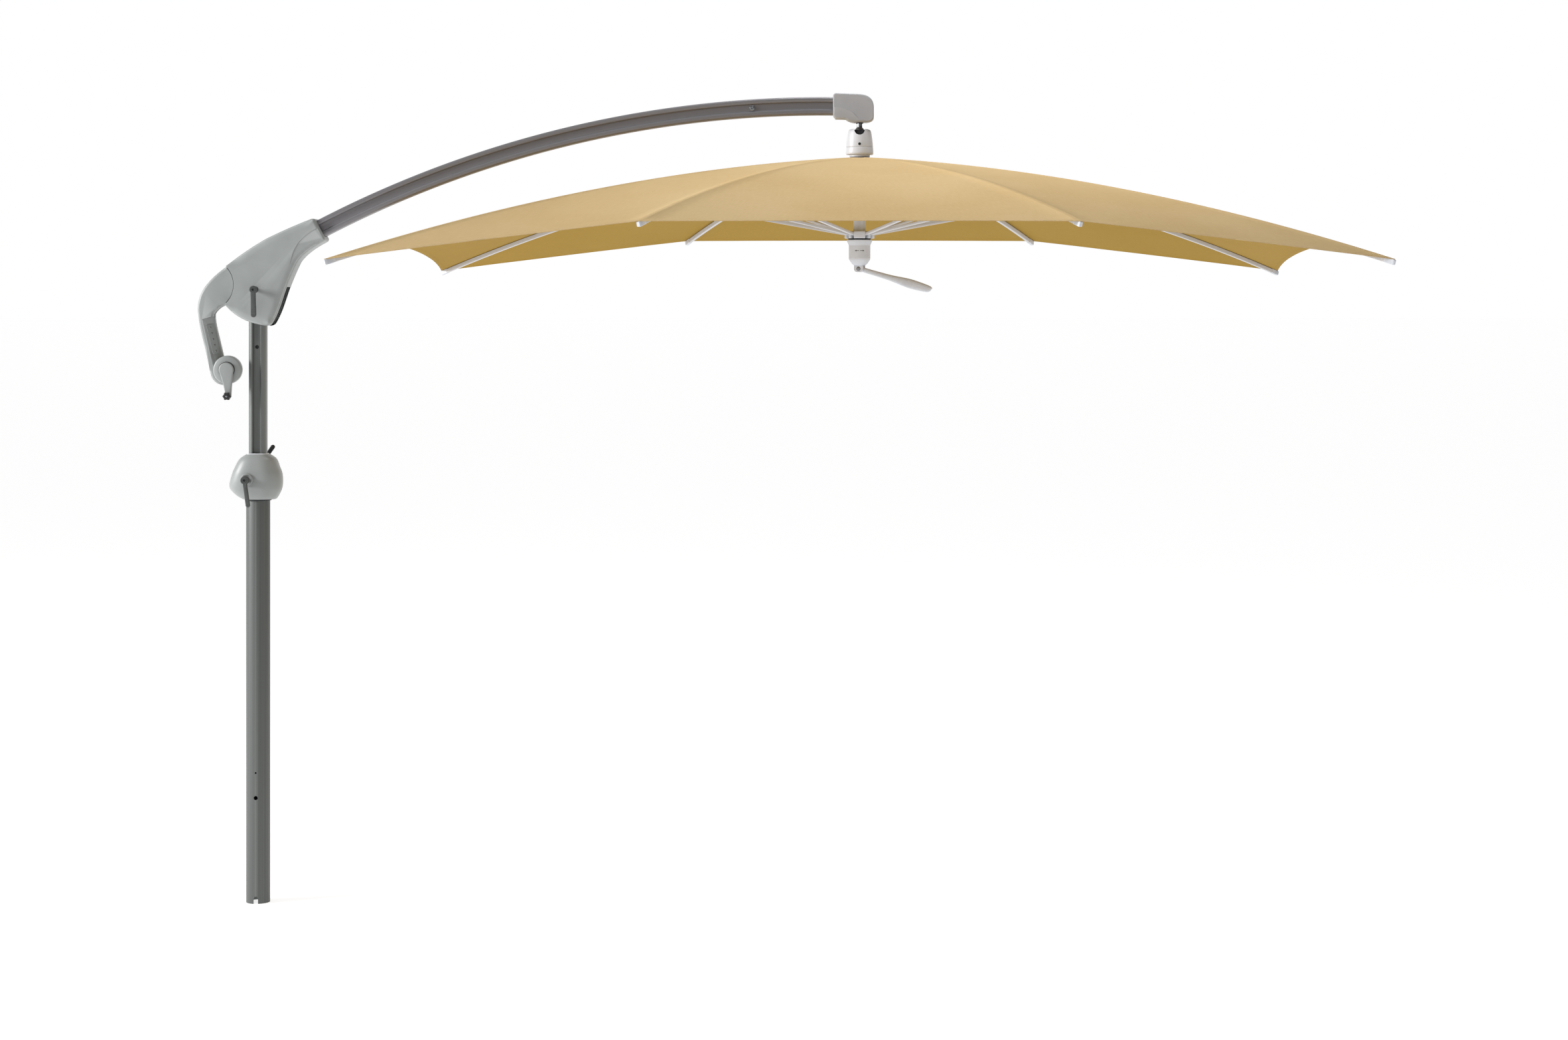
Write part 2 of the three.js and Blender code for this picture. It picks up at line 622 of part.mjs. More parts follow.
/** The star-shaped grip, on a spindle through the handle's end. */
function crankKnob() {
  const x = CRANK.x + CRANK.throwX;
  const z = CRANK.z + CRANK.throwZ;
  const { radius: mean, lobe, lobes, front, back, spindle } = KNOB;
  const perLobe = 6;
  const star = new THREE.Shape(Array.from({ length: lobes * perLobe }, (_, i) => {
    const angle = (2 * Math.PI * i) / (lobes * perLobe);
    const radius = mean + lobe * Math.cos(lobes * angle);
    return new THREE.Vector2(x + radius * Math.cos(angle), z + radius * Math.sin(angle));
  }));
  return join(plate(star, front, back), barY(spindle, x, z, back - 0.5, CRANK.back + 3, 12));
}

// ---------------------------------------------------------------- boom and ball joint

function boom() {
  const shape = boomSection(0, BOOM_GROOVE);
  shape.holes.push(section(BOOM_HOLLOW.width, BOOM_HOLLOW.height, 3));
  return alongBoom(shape, BOOM.startX, BOOM.endX, 14);
}

function endCapShape() {
  const shape = new THREE.Shape();
  shape.moveTo(2141.7, 2926);
  shape.lineTo(2141, 2997);
  shape.quadraticCurveTo(2142, 3009, 2152, 3010);
  shape.lineTo(2240, 3006.5);
  shape.quadraticCurveTo(2293, 3003, 2293, 2956);
  shape.lineTo(2293, 2922);
  shape.quadraticCurveTo(2292, 2905, 2264, 2903);
  shape.lineTo(2222, 2901.8);
  shape.quadraticCurveTo(2200, 2904, 2188, 2914.6);
  shape.lineTo(2150, 2915.6);
  return shape;
}

function boomEndCap() {
  return cut(
    bevelledPlate(endCapShape(), -END_CAP_HALF, END_CAP_HALF, 6),
    hollowOf(endCapShape(), END_CAP_HALF),
    alongBoom(boomSection(BOOM_FIT), 2100, BOOM.endX + 4, 3),
    barZ(BALL.stem + GAP, AXIS_X, 2890, 2920, 32),
  );
}

function ballStud() {
  return join(
    ball(BALL.radius, AXIS_X, BALL.z),
    barZ(BALL.stem, AXIS_X, BALL.z, BALL.stemTop, 32),
    barZ(NUT.radius, AXIS_X, NUT.bottom, NUT.top, 6),
  );
}

function ballSeat() {
  const [from, to] = [72, 140].map(THREE.MathUtils.degToRad);
  const steps = 5;
  const arc = (radius) => Array.from({ length: steps + 1 }, (_, i) => {
    const angle = from + ((to - from) * i) / steps;
    return [radius * Math.sin(angle), BALL.z + radius * Math.cos(angle)];
  });
  const profile = [...arc(BALL.seatInner), ...arc(BALL.seatOuter).reverse()];
  return turned([...profile, profile[0]], AXIS_X, 24);
}

function bellHousing() {
  const { top, topRadius, bottom, bottomRadius, mouth, slotHalf, slotBottom } = BELL;
  const slotCentre = slotBottom + slotHalf;
  const outer = turned([
    [0, bottom], [bottomRadius - 1.5, bottom], [bottomRadius, bottom + 3], [bottomRadius - 1, bottom + 18],
    [46.5, 2848], [43.5, 2866], [topRadius, top - 3], [topRadius - 4, top], [0, top],
  ], AXIS_X);
  const slotX = [AXIS_X - slotHalf, AXIS_X + slotHalf];
  return cut(
    outer,
    ball(BALL.socket, AXIS_X, BALL.z),
    barZ(mouth, AXIS_X, BALL.z, top + 1),
    block(slotX, [-60, 0], [slotCentre, top + 1]),
    barY(slotHalf, AXIS_X, slotCentre, -60, 0),
    barZ(bottomRadius - WALL, AXIS_X, bottom - 1, 2835),
  );
}

// ---------------------------------------------------------------- canopy frame

function canopyCollar() {
  return cut(
    turned([
      [0, 2774], [38, 2774], [38, 2783], [50, 2783], [51.5, 2785], [51.5, 2808], [50, 2810], [0, 2810],
    ], AXIS_X),
    barZ(POLE.radius + GAP, AXIS_X, 2770, POLE.top + GAP),
  );
}

function canopyPole() {
  return cut(
    barZ(POLE.radius, AXIS_X, POLE.bottom, POLE.top),
    barZ(POLE.radius - POLE.wall, AXIS_X, POLE.bottom - 1, POLE.top + 1),
  );
}

const { halfLength, halfWidth, innerRatio } = CANOPY;
const innerX = innerRatio * halfLength;

/** The rib tips in plan, anticlockwise from the end away from the mast. */
const RIBS = [
  { x: halfLength, y: 0, kind: 'middle' },
  { x: halfLength, y: halfWidth, kind: 'corner' },
  { x: innerX, y: halfWidth, kind: 'inner' },
  { x: -innerX, y: halfWidth, kind: 'inner' },
  { x: -halfLength, y: halfWidth, kind: 'corner' },
  { x: -halfLength, y: 0, kind: 'middle' },
  { x: -halfLength, y: -halfWidth, kind: 'corner' },
  { x: -innerX, y: -halfWidth, kind: 'inner' },
  { x: innerX, y: -halfWidth, kind: 'inner' },
  { x: halfLength, y: -halfWidth, kind: 'corner' },
].map((tip) => ({ ...tip, azimuth: Math.atan2(tip.y, tip.x), reach: Math.hypot(tip.x, tip.y) }));

/** Height of the fabric's crease along a rib, at a distance from the canopy's centre line. */
function creaseHeight(rib, r) {
  return CANOPY.apex - APEX_SLOPE * r - CURVATURE[rib.kind] * r * r;
}

/** Turn a solid drawn in the XZ plane to a rib's direction, and move it to the canopy. */
function toRib(solid, rib) {
  return solid.rotate([0, 0, THREE.MathUtils.radToDeg(rib.azimuth)]).translate([AXIS_X, 0, 0]);
}

/** A hub with one slot for each rib or strut, and a bore for the pole. */
function slottedHub([z0, z1], bore) {
  const slots = RIBS.map((rib) => {
    const half = HUB.slotWidth / 2;
    return toRib(block([HUB.slotRoot, HUB.radius + 10], [-half, half], [z0 - 1, z1 + 1]), rib);
  });
  return cut(barZ(HUB.radius, AXIS_X, z0, z1), barZ(bore, AXIS_X, z0 - 1, z1 + 1), ...slots);
}

function rib(tip) {
  const { width, height, wall, belowFabric, rootRadius, shortOfTip } = RIB;
  const end = tip.reach - shortOfTip;
  const axisHeight = (r) => creaseHeight(tip, r) - belowFabric;
  const slopeAtRoot = -APEX_SLOPE - 2 * CURVATURE[tip.kind] * rootRadius;
  const middle = (end - rootRadius) / 2;
  const path = new THREE.QuadraticBezierCurve3(
    new THREE.Vector3(rootRadius, 0, axisHeight(rootRadius)),
    new THREE.Vector3(rootRadius + middle, 0, axisHeight(rootRadius) + slopeAtRoot * middle),
    new THREE.Vector3(end, 0, axisHeight(end)),
  );
  const rectangle = (w, h) => polygon([[-w / 2, -h / 2], [w / 2, -h / 2], [w / 2, h / 2], [-w / 2, h / 2]]);
  const shape = rectangle(width, height);
  shape.holes.push(rectangle(width - 2 * wall, height - 2 * wall));
  const tube = toSolid(new THREE.ExtrudeGeometry(shape, { extrudePath: path, steps: 7 }));
  const { ribRadius } = LINK;
  const lugTop = axisHeight(ribRadius) - height / 2 + wall / 2;
  const lug = join(
    block([ribRadius - LUG.radius, ribRadius + LUG.radius], [-LUG.half, LUG.half], [LINK_RIB_Z, lugTop]),
    barY(LUG.radius, ribRadius, LINK_RIB_Z, -LUG.half, LUG.half, 12),
  );
  return toRib(join(tube, lug), tip);
}

function strut(tip) {
  const { width, height, wall, overhang } = STRUT;
  const { pivotRadius, ribRadius, runnerZ } = LINK;
  const [run, rise] = [ribRadius - pivotRadius, LINK_RIB_Z - runnerZ];
  const length = Math.hypot(run, rise);
  const [w, h] = [width / 2, height / 2];
  const ends = [-overhang, length + overhang];
  const bar = cut(
    block(ends, [-w, w], [-h, h]),
    block([ends[0] - 1, ends[1] + 1], [-w + wall, w - wall], [-h + wall, h - wall]),
    block([length - LUG.radius - 6, ends[1] + 1], [-LUG.half - GAP, LUG.half + GAP], [-h - 1, h + 1]),
  );
  const lift = THREE.MathUtils.radToDeg(Math.atan2(rise, run));
  return toRib(bar.rotate([0, -lift, 0]).translate([pivotRadius, 0, runnerZ]), tip);
}

/**
 * One rib's share of the fabric: half of the panel on each side of its crease, up to the seam
 * line in the middle of the panel. Panels are ruled between the creases of their two ribs.
 */
function canopySector(index) {
  const count = RIBS.length;
  const own = RIBS[index];
  const neighbours = { left: RIBS[(index + 1) % count], right: RIBS[(index + count - 1) % count] };
  const crease = (rib, t) => {
    const r = CANOPY.hole + (rib.reach - CANOPY.hole) * t;
    return new THREE.Vector3(r * Math.cos(rib.azimuth), r * Math.sin(rib.azimuth), creaseHeight(rib, r));
  };
  const [across, along] = [4, 6];
  const sheet = new THREE.BoxGeometry(1, 1, CANOPY.sheet, across, along, 1);
  const position = sheet.getAttribute('position');
  for (let i = 0; i < position.count; i += 1) {
    const side = position.getX(i) > 0 ? neighbours.right : neighbours.left;
    const frontHem = Math.abs(own.x - side.x) > 1 && own.y === side.y;
    const scallop = frontHem ? HEM_SCALLOP.front : HEM_SCALLOP.side;
    const share = Math.abs(position.getX(i));
    const hem = 1 - scallop * 4 * share * (1 - share);
    const t = (position.getY(i) + 0.5) * hem;
    const [here, there] = [crease(own, t), crease(side, t)];
    const reach = share - (share * GAP) / here.distanceTo(there);
    const point = here.lerp(there, reach);
    position.setXYZ(i, AXIS_X + point.x, point.y, point.z + position.getZ(i) - CANOPY.sheet / 2);
  }
  return toSolid(sheet);
}

/** The lock housing below the runner: a nose that enters the pole, and a fork for the lever. */
function leverHousing() {
  const body = turned([
    [0, 2371], [22, 2371], [28, 2376], [38, 2390], [40, 2396], [40, 2445], [47, 2460], [47, 2465], [18, 2465],
    [17, 2500], [14, 2506], [0, 2506],
  ], AXIS_X);
  const fork = cut(
    block([-18, 18], [-14, 14], [2345, 2380]),
    block([-30, 30], [-7.5, 7.5], [2330, 2371]),
  );
  return join(body, fork.rotate([0, 0, PADDLE.azimuth]).translate([AXIS_X, 0, 0]));
}

/** The hand lever: a round eye on its pin, and a blade on edge that is broadest near its end. */
function openingLever() {
  const { z, azimuth, droop, length } = PADDLE;
  const corners = [[1, 0.5], [0.6, 1], [-0.6, 1], [-1, 0.5], [-1, -0.5], [-0.6, -1], [0.6, -1], [1, -0.5]];
  const ring = (x, halfThick, halfHigh) => (
    corners.map(([y, up]) => new THREE.Vector3(x, halfThick * y, halfHigh * up))
  );
  const blade = loft([
    ring(20, 7, 9), ring(70, 7.5, 9.8), ring(125, 8, 11), ring(150, 8.5, 13.3), ring(180, 8.5, 16),
    ring(207, 8.5, 17.4), ring(235, 8, 16.6), ring(length - 18, 7, 14), ring(length, 5, 8),
  ]);
  const eye = join(barY(10, 0, 0, -7, 7, 24), block([0, 22], [-7, 7], [-9, 9]));
  return join(eye, blade).rotate([0, droop, 0]).rotate([0, 0, azimuth]).translate([AXIS_X, 0, z]);
}

// ---------------------------------------------------------------- assembly

add('lower_mast', lowerMast(), MATERIAL.darkAluminium);
add('joint_front_shell', jointHousing(-1), MATERIAL.greyCasting);
add('joint_rear_shell', jointHousing(1), MATERIAL.greyCasting);
add('slide_bush', slideBush(), MATERIAL.blackPlastic);
add('slide_clamp_lever', clampLever(CLAMP.slide), MATERIAL.leverGrey);
add('turn_clamp_lever', clampLever(CLAMP.turn), MATERIAL.blackPlastic);
add('upper_mast', upperMast(), MATERIAL.darkAluminium);

add('mast_head_block', mastHeadBlock(), MATERIAL.bareAluminium);
add('worm_sector', wormSector(), MATERIAL.bronze);
add('pivot_axle', barY(AXLE_RADIUS, 0, PIVOT_Z, -CHEEK, CHEEK), MATERIAL.steel);
add('head_front_shell', headShell(-1), MATERIAL.greyCasting);
add('head_rear_shell', headShell(1), MATERIAL.greyCasting);
add('tilt_clamp_lever', clampLever(CLAMP.tilt), MATERIAL.leverGrey);
add('crank_arm', crankArm(), MATERIAL.greyCasting);
add('arm_cover', armCover(), MATERIAL.greyCasting);
add('gear_housing', gearHousing(), MATERIAL.greyCasting);
add('drive_shaft', driveShaft(), MATERIAL.steel);
add('crank_handle', crankHandle(), MATERIAL.greyCasting);
add('crank_knob', crankKnob(), MATERIAL.blackPlastic);

add('boom', boom(), MATERIAL.darkAluminium);
add('boom_end_cap', boomEndCap(), MATERIAL.greyCasting);
add('ball_stud', ballStud(), MATERIAL.steel);
add('ball_seat', ballSeat(), MATERIAL.blackPlastic);
add('bell_housing', bellHousing(), MATERIAL.greyCasting);

add('canopy_collar', canopyCollar(), MATERIAL.fittingGrey);
add('canopy_pole', canopyPole(), MATERIAL.bareAluminium);
add('crown_hub', slottedHub(HUB.crown, POLE.radius + GAP), MATERIAL.fittingGrey);
add('runner_hub', slottedHub(HUB.runner, POLE.radius + RUNNER_PLAY), MATERIAL.fittingGrey);
add('lever_housing', leverHousing(), MATERIAL.fittingGrey);
add('opening_lever', openingLever(), MATERIAL.fittingGrey);
RIBS.forEach((tip, index) => {
  const number = String(index + 1).padStart(2, '0');
  add(`rib_${number}`, rib(tip), MATERIAL.ribGrey);
  add(`strut_${number}`, strut(tip), MATERIAL.ribGrey);
  add(`canopy_${number}`, canopySector(index), MATERIAL.fabric);
});

export default root;
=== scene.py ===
"""The looks of a cantilever parasol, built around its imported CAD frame.

The part's own frame is used throughout: the mast stands on the origin, +X runs along the boom and -Y is the
crank's side. Shapes are drawn in millimetres, most of them as outlines in the XZ plane, and made into
meshes in metres. Places come from the frame's joints and boxes.
"""
import json
from math import acos, atan2, copysign, cos, degrees, hypot, inf, pi, radians, sin

import bmesh
import bpy
from mathutils import Matrix, Vector, noise


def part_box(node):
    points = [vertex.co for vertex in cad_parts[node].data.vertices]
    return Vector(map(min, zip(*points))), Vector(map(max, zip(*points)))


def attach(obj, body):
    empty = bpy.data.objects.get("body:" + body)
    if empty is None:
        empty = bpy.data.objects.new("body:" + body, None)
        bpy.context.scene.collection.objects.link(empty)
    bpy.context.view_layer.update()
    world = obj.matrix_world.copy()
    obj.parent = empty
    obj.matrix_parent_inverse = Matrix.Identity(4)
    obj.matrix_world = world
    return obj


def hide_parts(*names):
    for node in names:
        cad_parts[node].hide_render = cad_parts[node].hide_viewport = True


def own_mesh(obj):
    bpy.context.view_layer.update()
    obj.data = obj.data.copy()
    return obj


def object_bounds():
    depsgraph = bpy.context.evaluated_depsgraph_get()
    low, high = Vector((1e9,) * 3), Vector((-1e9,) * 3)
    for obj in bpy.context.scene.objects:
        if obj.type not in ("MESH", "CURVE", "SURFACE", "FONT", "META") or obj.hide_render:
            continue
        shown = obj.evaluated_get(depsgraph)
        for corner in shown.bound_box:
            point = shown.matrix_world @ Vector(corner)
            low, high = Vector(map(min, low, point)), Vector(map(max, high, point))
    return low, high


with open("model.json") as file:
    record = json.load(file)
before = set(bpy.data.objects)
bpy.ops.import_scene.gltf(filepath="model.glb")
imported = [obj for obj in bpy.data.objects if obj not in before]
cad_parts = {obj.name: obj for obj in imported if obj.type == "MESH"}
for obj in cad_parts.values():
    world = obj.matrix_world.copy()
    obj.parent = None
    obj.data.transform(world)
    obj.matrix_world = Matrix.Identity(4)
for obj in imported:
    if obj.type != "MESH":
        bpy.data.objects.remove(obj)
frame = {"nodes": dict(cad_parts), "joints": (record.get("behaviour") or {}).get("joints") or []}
cad_low, cad_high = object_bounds()

MM = 0.001
JOINT = {joint["name"]: joint for joint in frame["joints"]}


def joint_point(name):
    """Where a joint's axis passes, in millimetres."""
    return Vector(JOINT[name]["pos_m"]) / MM


def node_box(node):
    """Lowest and highest corner of a CAD node, in millimetres."""
    low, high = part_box(node)
    return low / MM, high / MM


PIVOT = joint_point("boom_tilt")
CRANK = joint_point("crank_turn")
KNOB = joint_point("knob_spin")
BALL = joint_point("canopy_tilt_fore")
AXIS_X = BALL.x
POLE_LINE = Vector((AXIS_X, 0, 0))
HALF_LENGTH = cad_high.x / MM - AXIS_X
HALF_WIDTH = cad_high.y / MM
PARTING = 0.2  # half the gap where two shells meet

# ---------------------------------------------------------------- camera, light and floor


def linked(name, data):
    """A new object, in the scene."""
    obj = bpy.data.objects.new(name, data)
    bpy.context.scene.collection.objects.link(obj)
    return obj


def make_camera():
    data = bpy.data.cameras.new("camera")
    data.sensor_width = 36
    data.lens = 65.03
    data.shift_x, data.shift_y = -0.0482, -0.1329
    camera = linked("camera", data)
    camera.location = (AXIS_X * MM, -10.55, 2.198)
    camera.rotation_euler = (pi / 2, 0, 0)
    bpy.context.scene.camera = camera


def make_area_light(name, place, target, size, power, spread=180):
    data = bpy.data.lights.new(name, "AREA")
    data.shape, data.size, data.energy = "DISK", size, power
    data.spread = radians(spread)
    light = linked(name, data)
    light.location = place
    light.rotation_euler = (Vector(target) - Vector(place)).to_track_quat("-Z", "Y").to_euler()


def map_range(tree, value, from_low, from_high, low, high):
    """A socket's value, moved from one pair of limits to another."""
    made = tree.nodes.new("ShaderNodeMapRange")
    tree.links.new(value, made.inputs["Value"])
    limits = {"From Min": from_low, "From Max": from_high, "To Min": low, "To Max": high}
    for name, limit in limits.items():
        made.inputs[name].default_value = limit
    return made.outputs[0]


def make_world():
    """A studio: a white backdrop behind the parasol, dim walls beside it, and dimmer to the right."""
    world = bpy.data.worlds.new("studio")
    bpy.context.scene.world = world
    world.use_nodes = True
    nodes, links = world.node_tree.nodes, world.node_tree.links
    direction = nodes.new("ShaderNodeTexCoord")
    split = nodes.new("ShaderNodeSeparateXYZ")
    links.new(direction.outputs["Generated"], split.inputs[0])

    walls = map_range(world.node_tree, split.outputs["X"], -0.6, 0.3, 0.42, 0.03)
    backdrop = map_range(world.node_tree, split.outputs["Y"], 0.5, 0.88, 0.0, 1.0)
    mix = nodes.new("ShaderNodeMix")
    links.new(backdrop, mix.inputs[0])
    links.new(walls, mix.inputs[2])
    mix.inputs[3].default_value = 1.0
    links.new(mix.outputs[0], nodes["Background"].inputs["Color"])


def make_floor():
    """A bright sweep that runs out of sight and melts into the backdrop."""
    mesh = bpy.data.meshes.new("floor")
    size = 900
    corners = [(-size, -size, 0), (size, -size, 0), (size, size, 0), (-size, size, 0)]
    mesh.from_pydata(corners, [], [(0, 1, 2, 3)])
    floor = linked("floor", mesh)
    pale = bpy.data.materials.new("pale_floor")
    pale.use_nodes = True
    shader = pale.node_tree.nodes["Principled BSDF"]
    shader.inputs["Base Color"].default_value = (0.5, 0.5, 0.5, 1)
    shader.inputs["Roughness"].default_value = 1
    shader.inputs["Emission Color"].default_value = (1, 1, 1, 1)
    shader.inputs["Emission Strength"].default_value = 0.82
    mesh.materials.append(pale)


def make_studio():
    make_camera()
    make_world()
    make_floor()
    make_area_light("key_light", (-8.4, -2.8, 4.7), (1.0, 0, 2.2), 3.0, 980)
    make_area_light("canopy_light", (2.9, -0.9, 7.2), (2.6, 0, 2.7), 2.5, 42, spread=85)
    bpy.context.scene.view_settings.view_transform = "Standard"


# ---------------------------------------------------------------- materials


def linear(color):
    """A colour written as six hexadecimal digits, as the renderer's linear values."""
    parts = [int(color[i:i + 2], 16) / 255 for i in (0, 2, 4)]
    return [p / 12.92 if p <= 0.04045 else ((p + 0.055) / 1.055) ** 2.4 for p in parts] + [1]


class Surface:
    """A node material, with short ways to add what varies over the surface."""

    def __init__(self, name, roughness, metallic=0.0, coat=0.0):
        self.material = bpy.data.materials.new(name)
        self.material.use_nodes = True
        self.tree = self.material.node_tree
        self.shader = self.tree.nodes["Principled BSDF"]
        self.shader.inputs["Roughness"].default_value = roughness
        self.shader.inputs["Metallic"].default_value = metallic
        self.shader.inputs["Coat Weight"].default_value = coat

    def node(self, kind, **inputs):
        made = self.tree.nodes.new(kind)
        for name, value in inputs.items():
            self.put(made.inputs[name.replace("_", " ")], value)
        return made

    def put(self, socket, value):
        if isinstance(value, bpy.types.NodeSocket):
            self.tree.links.new(value, socket)
        else:
            socket.default_value = value

    def coordinates(self, scale, attribute=None):
        """The object's own coordinates, or a stored attribute's, times a scale for each axis."""
        if attribute:
            source = self.node("ShaderNodeAttribute")
            source.attribute_name = attribute
            vector = source.outputs["Vector"]
        else:
            vector = self.node("ShaderNodeTexCoord").outputs["Object"]
        return self.node("ShaderNodeMapping", Vector=vector, Scale=scale).outputs[0]

    def speckle(self, scale, detail=3.0, attribute=None):
        """Noise with about so many cells to the metre: one number, or one for each axis."""
        scale = scale if isinstance(scale, tuple) else (scale,) * 3
        vector = self.coordinates(scale, attribute)
        return self.node("ShaderNodeTexNoise", Vector=vector, Scale=1.0, Detail=detail).outputs["Fac"]

    def spread(self, value, low, high, from_low=0.3, from_high=0.7):
        return map_range(self.tree, value, from_low, from_high, low, high)

    def math(self, operation, first, second=0.0):
        made = self.node("ShaderNodeMath")
        made.operation = operation
        self.put(made.inputs[0], first)
        self.put(made.inputs[1], second)
        return made.outputs[0]

    def mix(self, share, first, second):
        made = self.node("ShaderNodeMix")
        made.data_type = "RGBA"
        self.put(made.inputs[0], share)
        self.put(made.inputs[6], first)
        self.put(made.inputs[7], second)
        return made.outputs[2]

    def bump(self, height, depth, strength=1.0, under=None):
        made = self.node("ShaderNodeBump", Height=height, Distance=depth, Strength=strength)
        if under:
            self.put(made.inputs["Normal"], under)
        return made.outputs[0]

    def color(self, value):
        self.put(self.shader.inputs["Base Color"], value)

    def roughness(self, value):
        self.put(self.shader.inputs["Roughness"], value)

    def normal(self, value):
        self.put(self.shader.inputs["Normal"], value)

    def worn_color(self, base, light, dark, scale=9.0):
        """A colour with a faint cloudy change and slightly paler, rubbed edges."""
        cloud = self.spread(self.speckle(scale, detail=5), 0, 1, 0.35, 0.65)
        flat = self.mix(cloud, linear(base), linear(dark))
        edges = self.spread(self.node("ShaderNodeNewGeometry").outputs["Pointiness"], 0, 0.55, 0.52, 0.6)
        self.color(self.mix(edges, flat, linear(light)))


def powder_coat(name, base, light, dark, roughness=0.42):
    """Cast aluminium under a fine-grained powder coat."""
    surface = Surface(name, roughness, metallic=0.0, coat=0.08)
    surface.shader.inputs["Coat Roughness"].default_value = 0.3
    surface.worn_color(base, light, dark)
    fine = surface.speckle(1500, detail=2)
    cast = surface.speckle(45, detail=3)
    surface.roughness(surface.spread(fine, roughness - 0.06, roughness + 0.1))
    surface.normal(surface.bump(fine, 0.00012, 0.35, surface.bump(cast, 0.0006, 0.05)))
    return surface.material


def moulded_plastic(name, base, light, dark, roughness=0.5, grain=0.35):
    """Injection-moulded plastic with a spark-eroded grain."""
    surface = Surface(name, roughness)
    surface.worn_color(base, light, dark, 14)
    cells = surface.node("ShaderNodeTexVoronoi", Vector=surface.coordinates((900,) * 3), Scale=1.0)
    scuffs = surface.speckle(60)
    surface.roughness(surface.spread(scuffs, roughness - 0.07, roughness + 0.08))
    surface.normal(surface.bump(cells.outputs["Distance"], 0.00015, grain))
    return surface.material


def drawn_aluminium(name, base, light, dark, roughness, attribute, metallic):
    """Extruded aluminium: fine die lines run its length, which is the coordinates' Z."""
    surface = Surface(name, roughness, metallic=metallic)
    die_lines = surface.speckle((900, 900, 1.5), detail=3, attribute=attribute)
    broad = surface.speckle((120, 120, 0.6), detail=2, attribute=attribute)
    worn = surface.spread(surface.node("ShaderNodeNewGeometry").outputs["Pointiness"], 0, 0.6, 0.53, 0.62)
    flat = surface.mix(surface.spread(broad, 0, 1), linear(base), linear(dark))
    surface.color(surface.mix(worn, flat, linear(light)))
    surface.roughness(surface.spread(die_lines, roughness - 0.07, roughness + 0.12))
    surface.normal(surface.bump(die_lines, 0.00006, 0.4))
    return surface.material


def turned_metal(name, base, dark, roughness=0.25):
    """Machined or plated metal, with fine rings and a little tarnish."""
    surface = Surface(name, roughness, metallic=1.0)
    tarnish = surface.spread(surface.speckle(60, detail=6), 0, 1)
    surface.color(surface.mix(tarnish, linear(base), linear(dark)))
    rings = surface.speckle((40, 40, 2500), detail=2)
    surface.roughness(surface.spread(rings, roughness - 0.08, roughness + 0.12))
    surface.normal(surface.bump(rings, 0.00004, 0.3))
    return surface.material


THREAD = 0.0011  # pitch of the fabric's yarns, in metres


def woven_fabric(name, base, light, dark):
    """Plain-woven acrylic. The attribute weave holds metres across, along, and in from the hem."""
    surface = Surface(name, 0.88)
    surface.shader.inputs["Specular IOR Level"].default_value = 0.12
    source = surface.node("ShaderNodeAttribute")
    source.attribute_name = "weave"
    split = surface.node("ShaderNodeSeparateXYZ", Vector=source.outputs["Vector"])
    across, along, inward = split.outputs
    turns = 2 * pi / THREAD
    warp = surface.math("SINE", surface.math("MULTIPLY", across, turns))
    weft = surface.math("SINE", surface.math("MULTIPLY", along, turns))
    over = surface.math("MULTIPLY", warp, weft)
    slub = surface.speckle((260, 30, 0), detail=2, attribute="weave")
    cloud = surface.speckle(2.2, detail=4)
    yarn = surface.mix(surface.spread(slub, 0, 0.5), linear(base), linear(dark))
    tone = surface.mix(surface.spread(cloud, 0, 0.35), yarn, linear(light))

    def stitch_row(distance, row, half=0.0009):
        gap = surface.math("ABSOLUTE", surface.math("SUBTRACT", surface.math("ABSOLUTE", distance), row))
        return surface.math("LESS_THAN", gap, half)

    def dashes(position, pitch=0.0045):
        wave = surface.math("SINE", surface.math("MULTIPLY", position, 2 * pi / pitch))
        return surface.math("GREATER_THAN", wave, -0.45)

    seam = surface.math("MULTIPLY", stitch_row(across, 0.009), dashes(along))
    hem = surface.math("MULTIPLY", stitch_row(inward, 0.021), dashes(across))
    stitches = surface.math("MAXIMUM", seam, hem)
    surface.color(surface.mix(surface.math("MULTIPLY", stitches, 0.55), tone, linear(dark)))
    surface.roughness(surface.spread(over, 0.82, 0.94, -1, 1))
    woven = surface.bump(over, 0.00012, 0.25)
    surface.normal(surface.bump(stitches, 0.0004, 0.6, woven))
    return surface.material


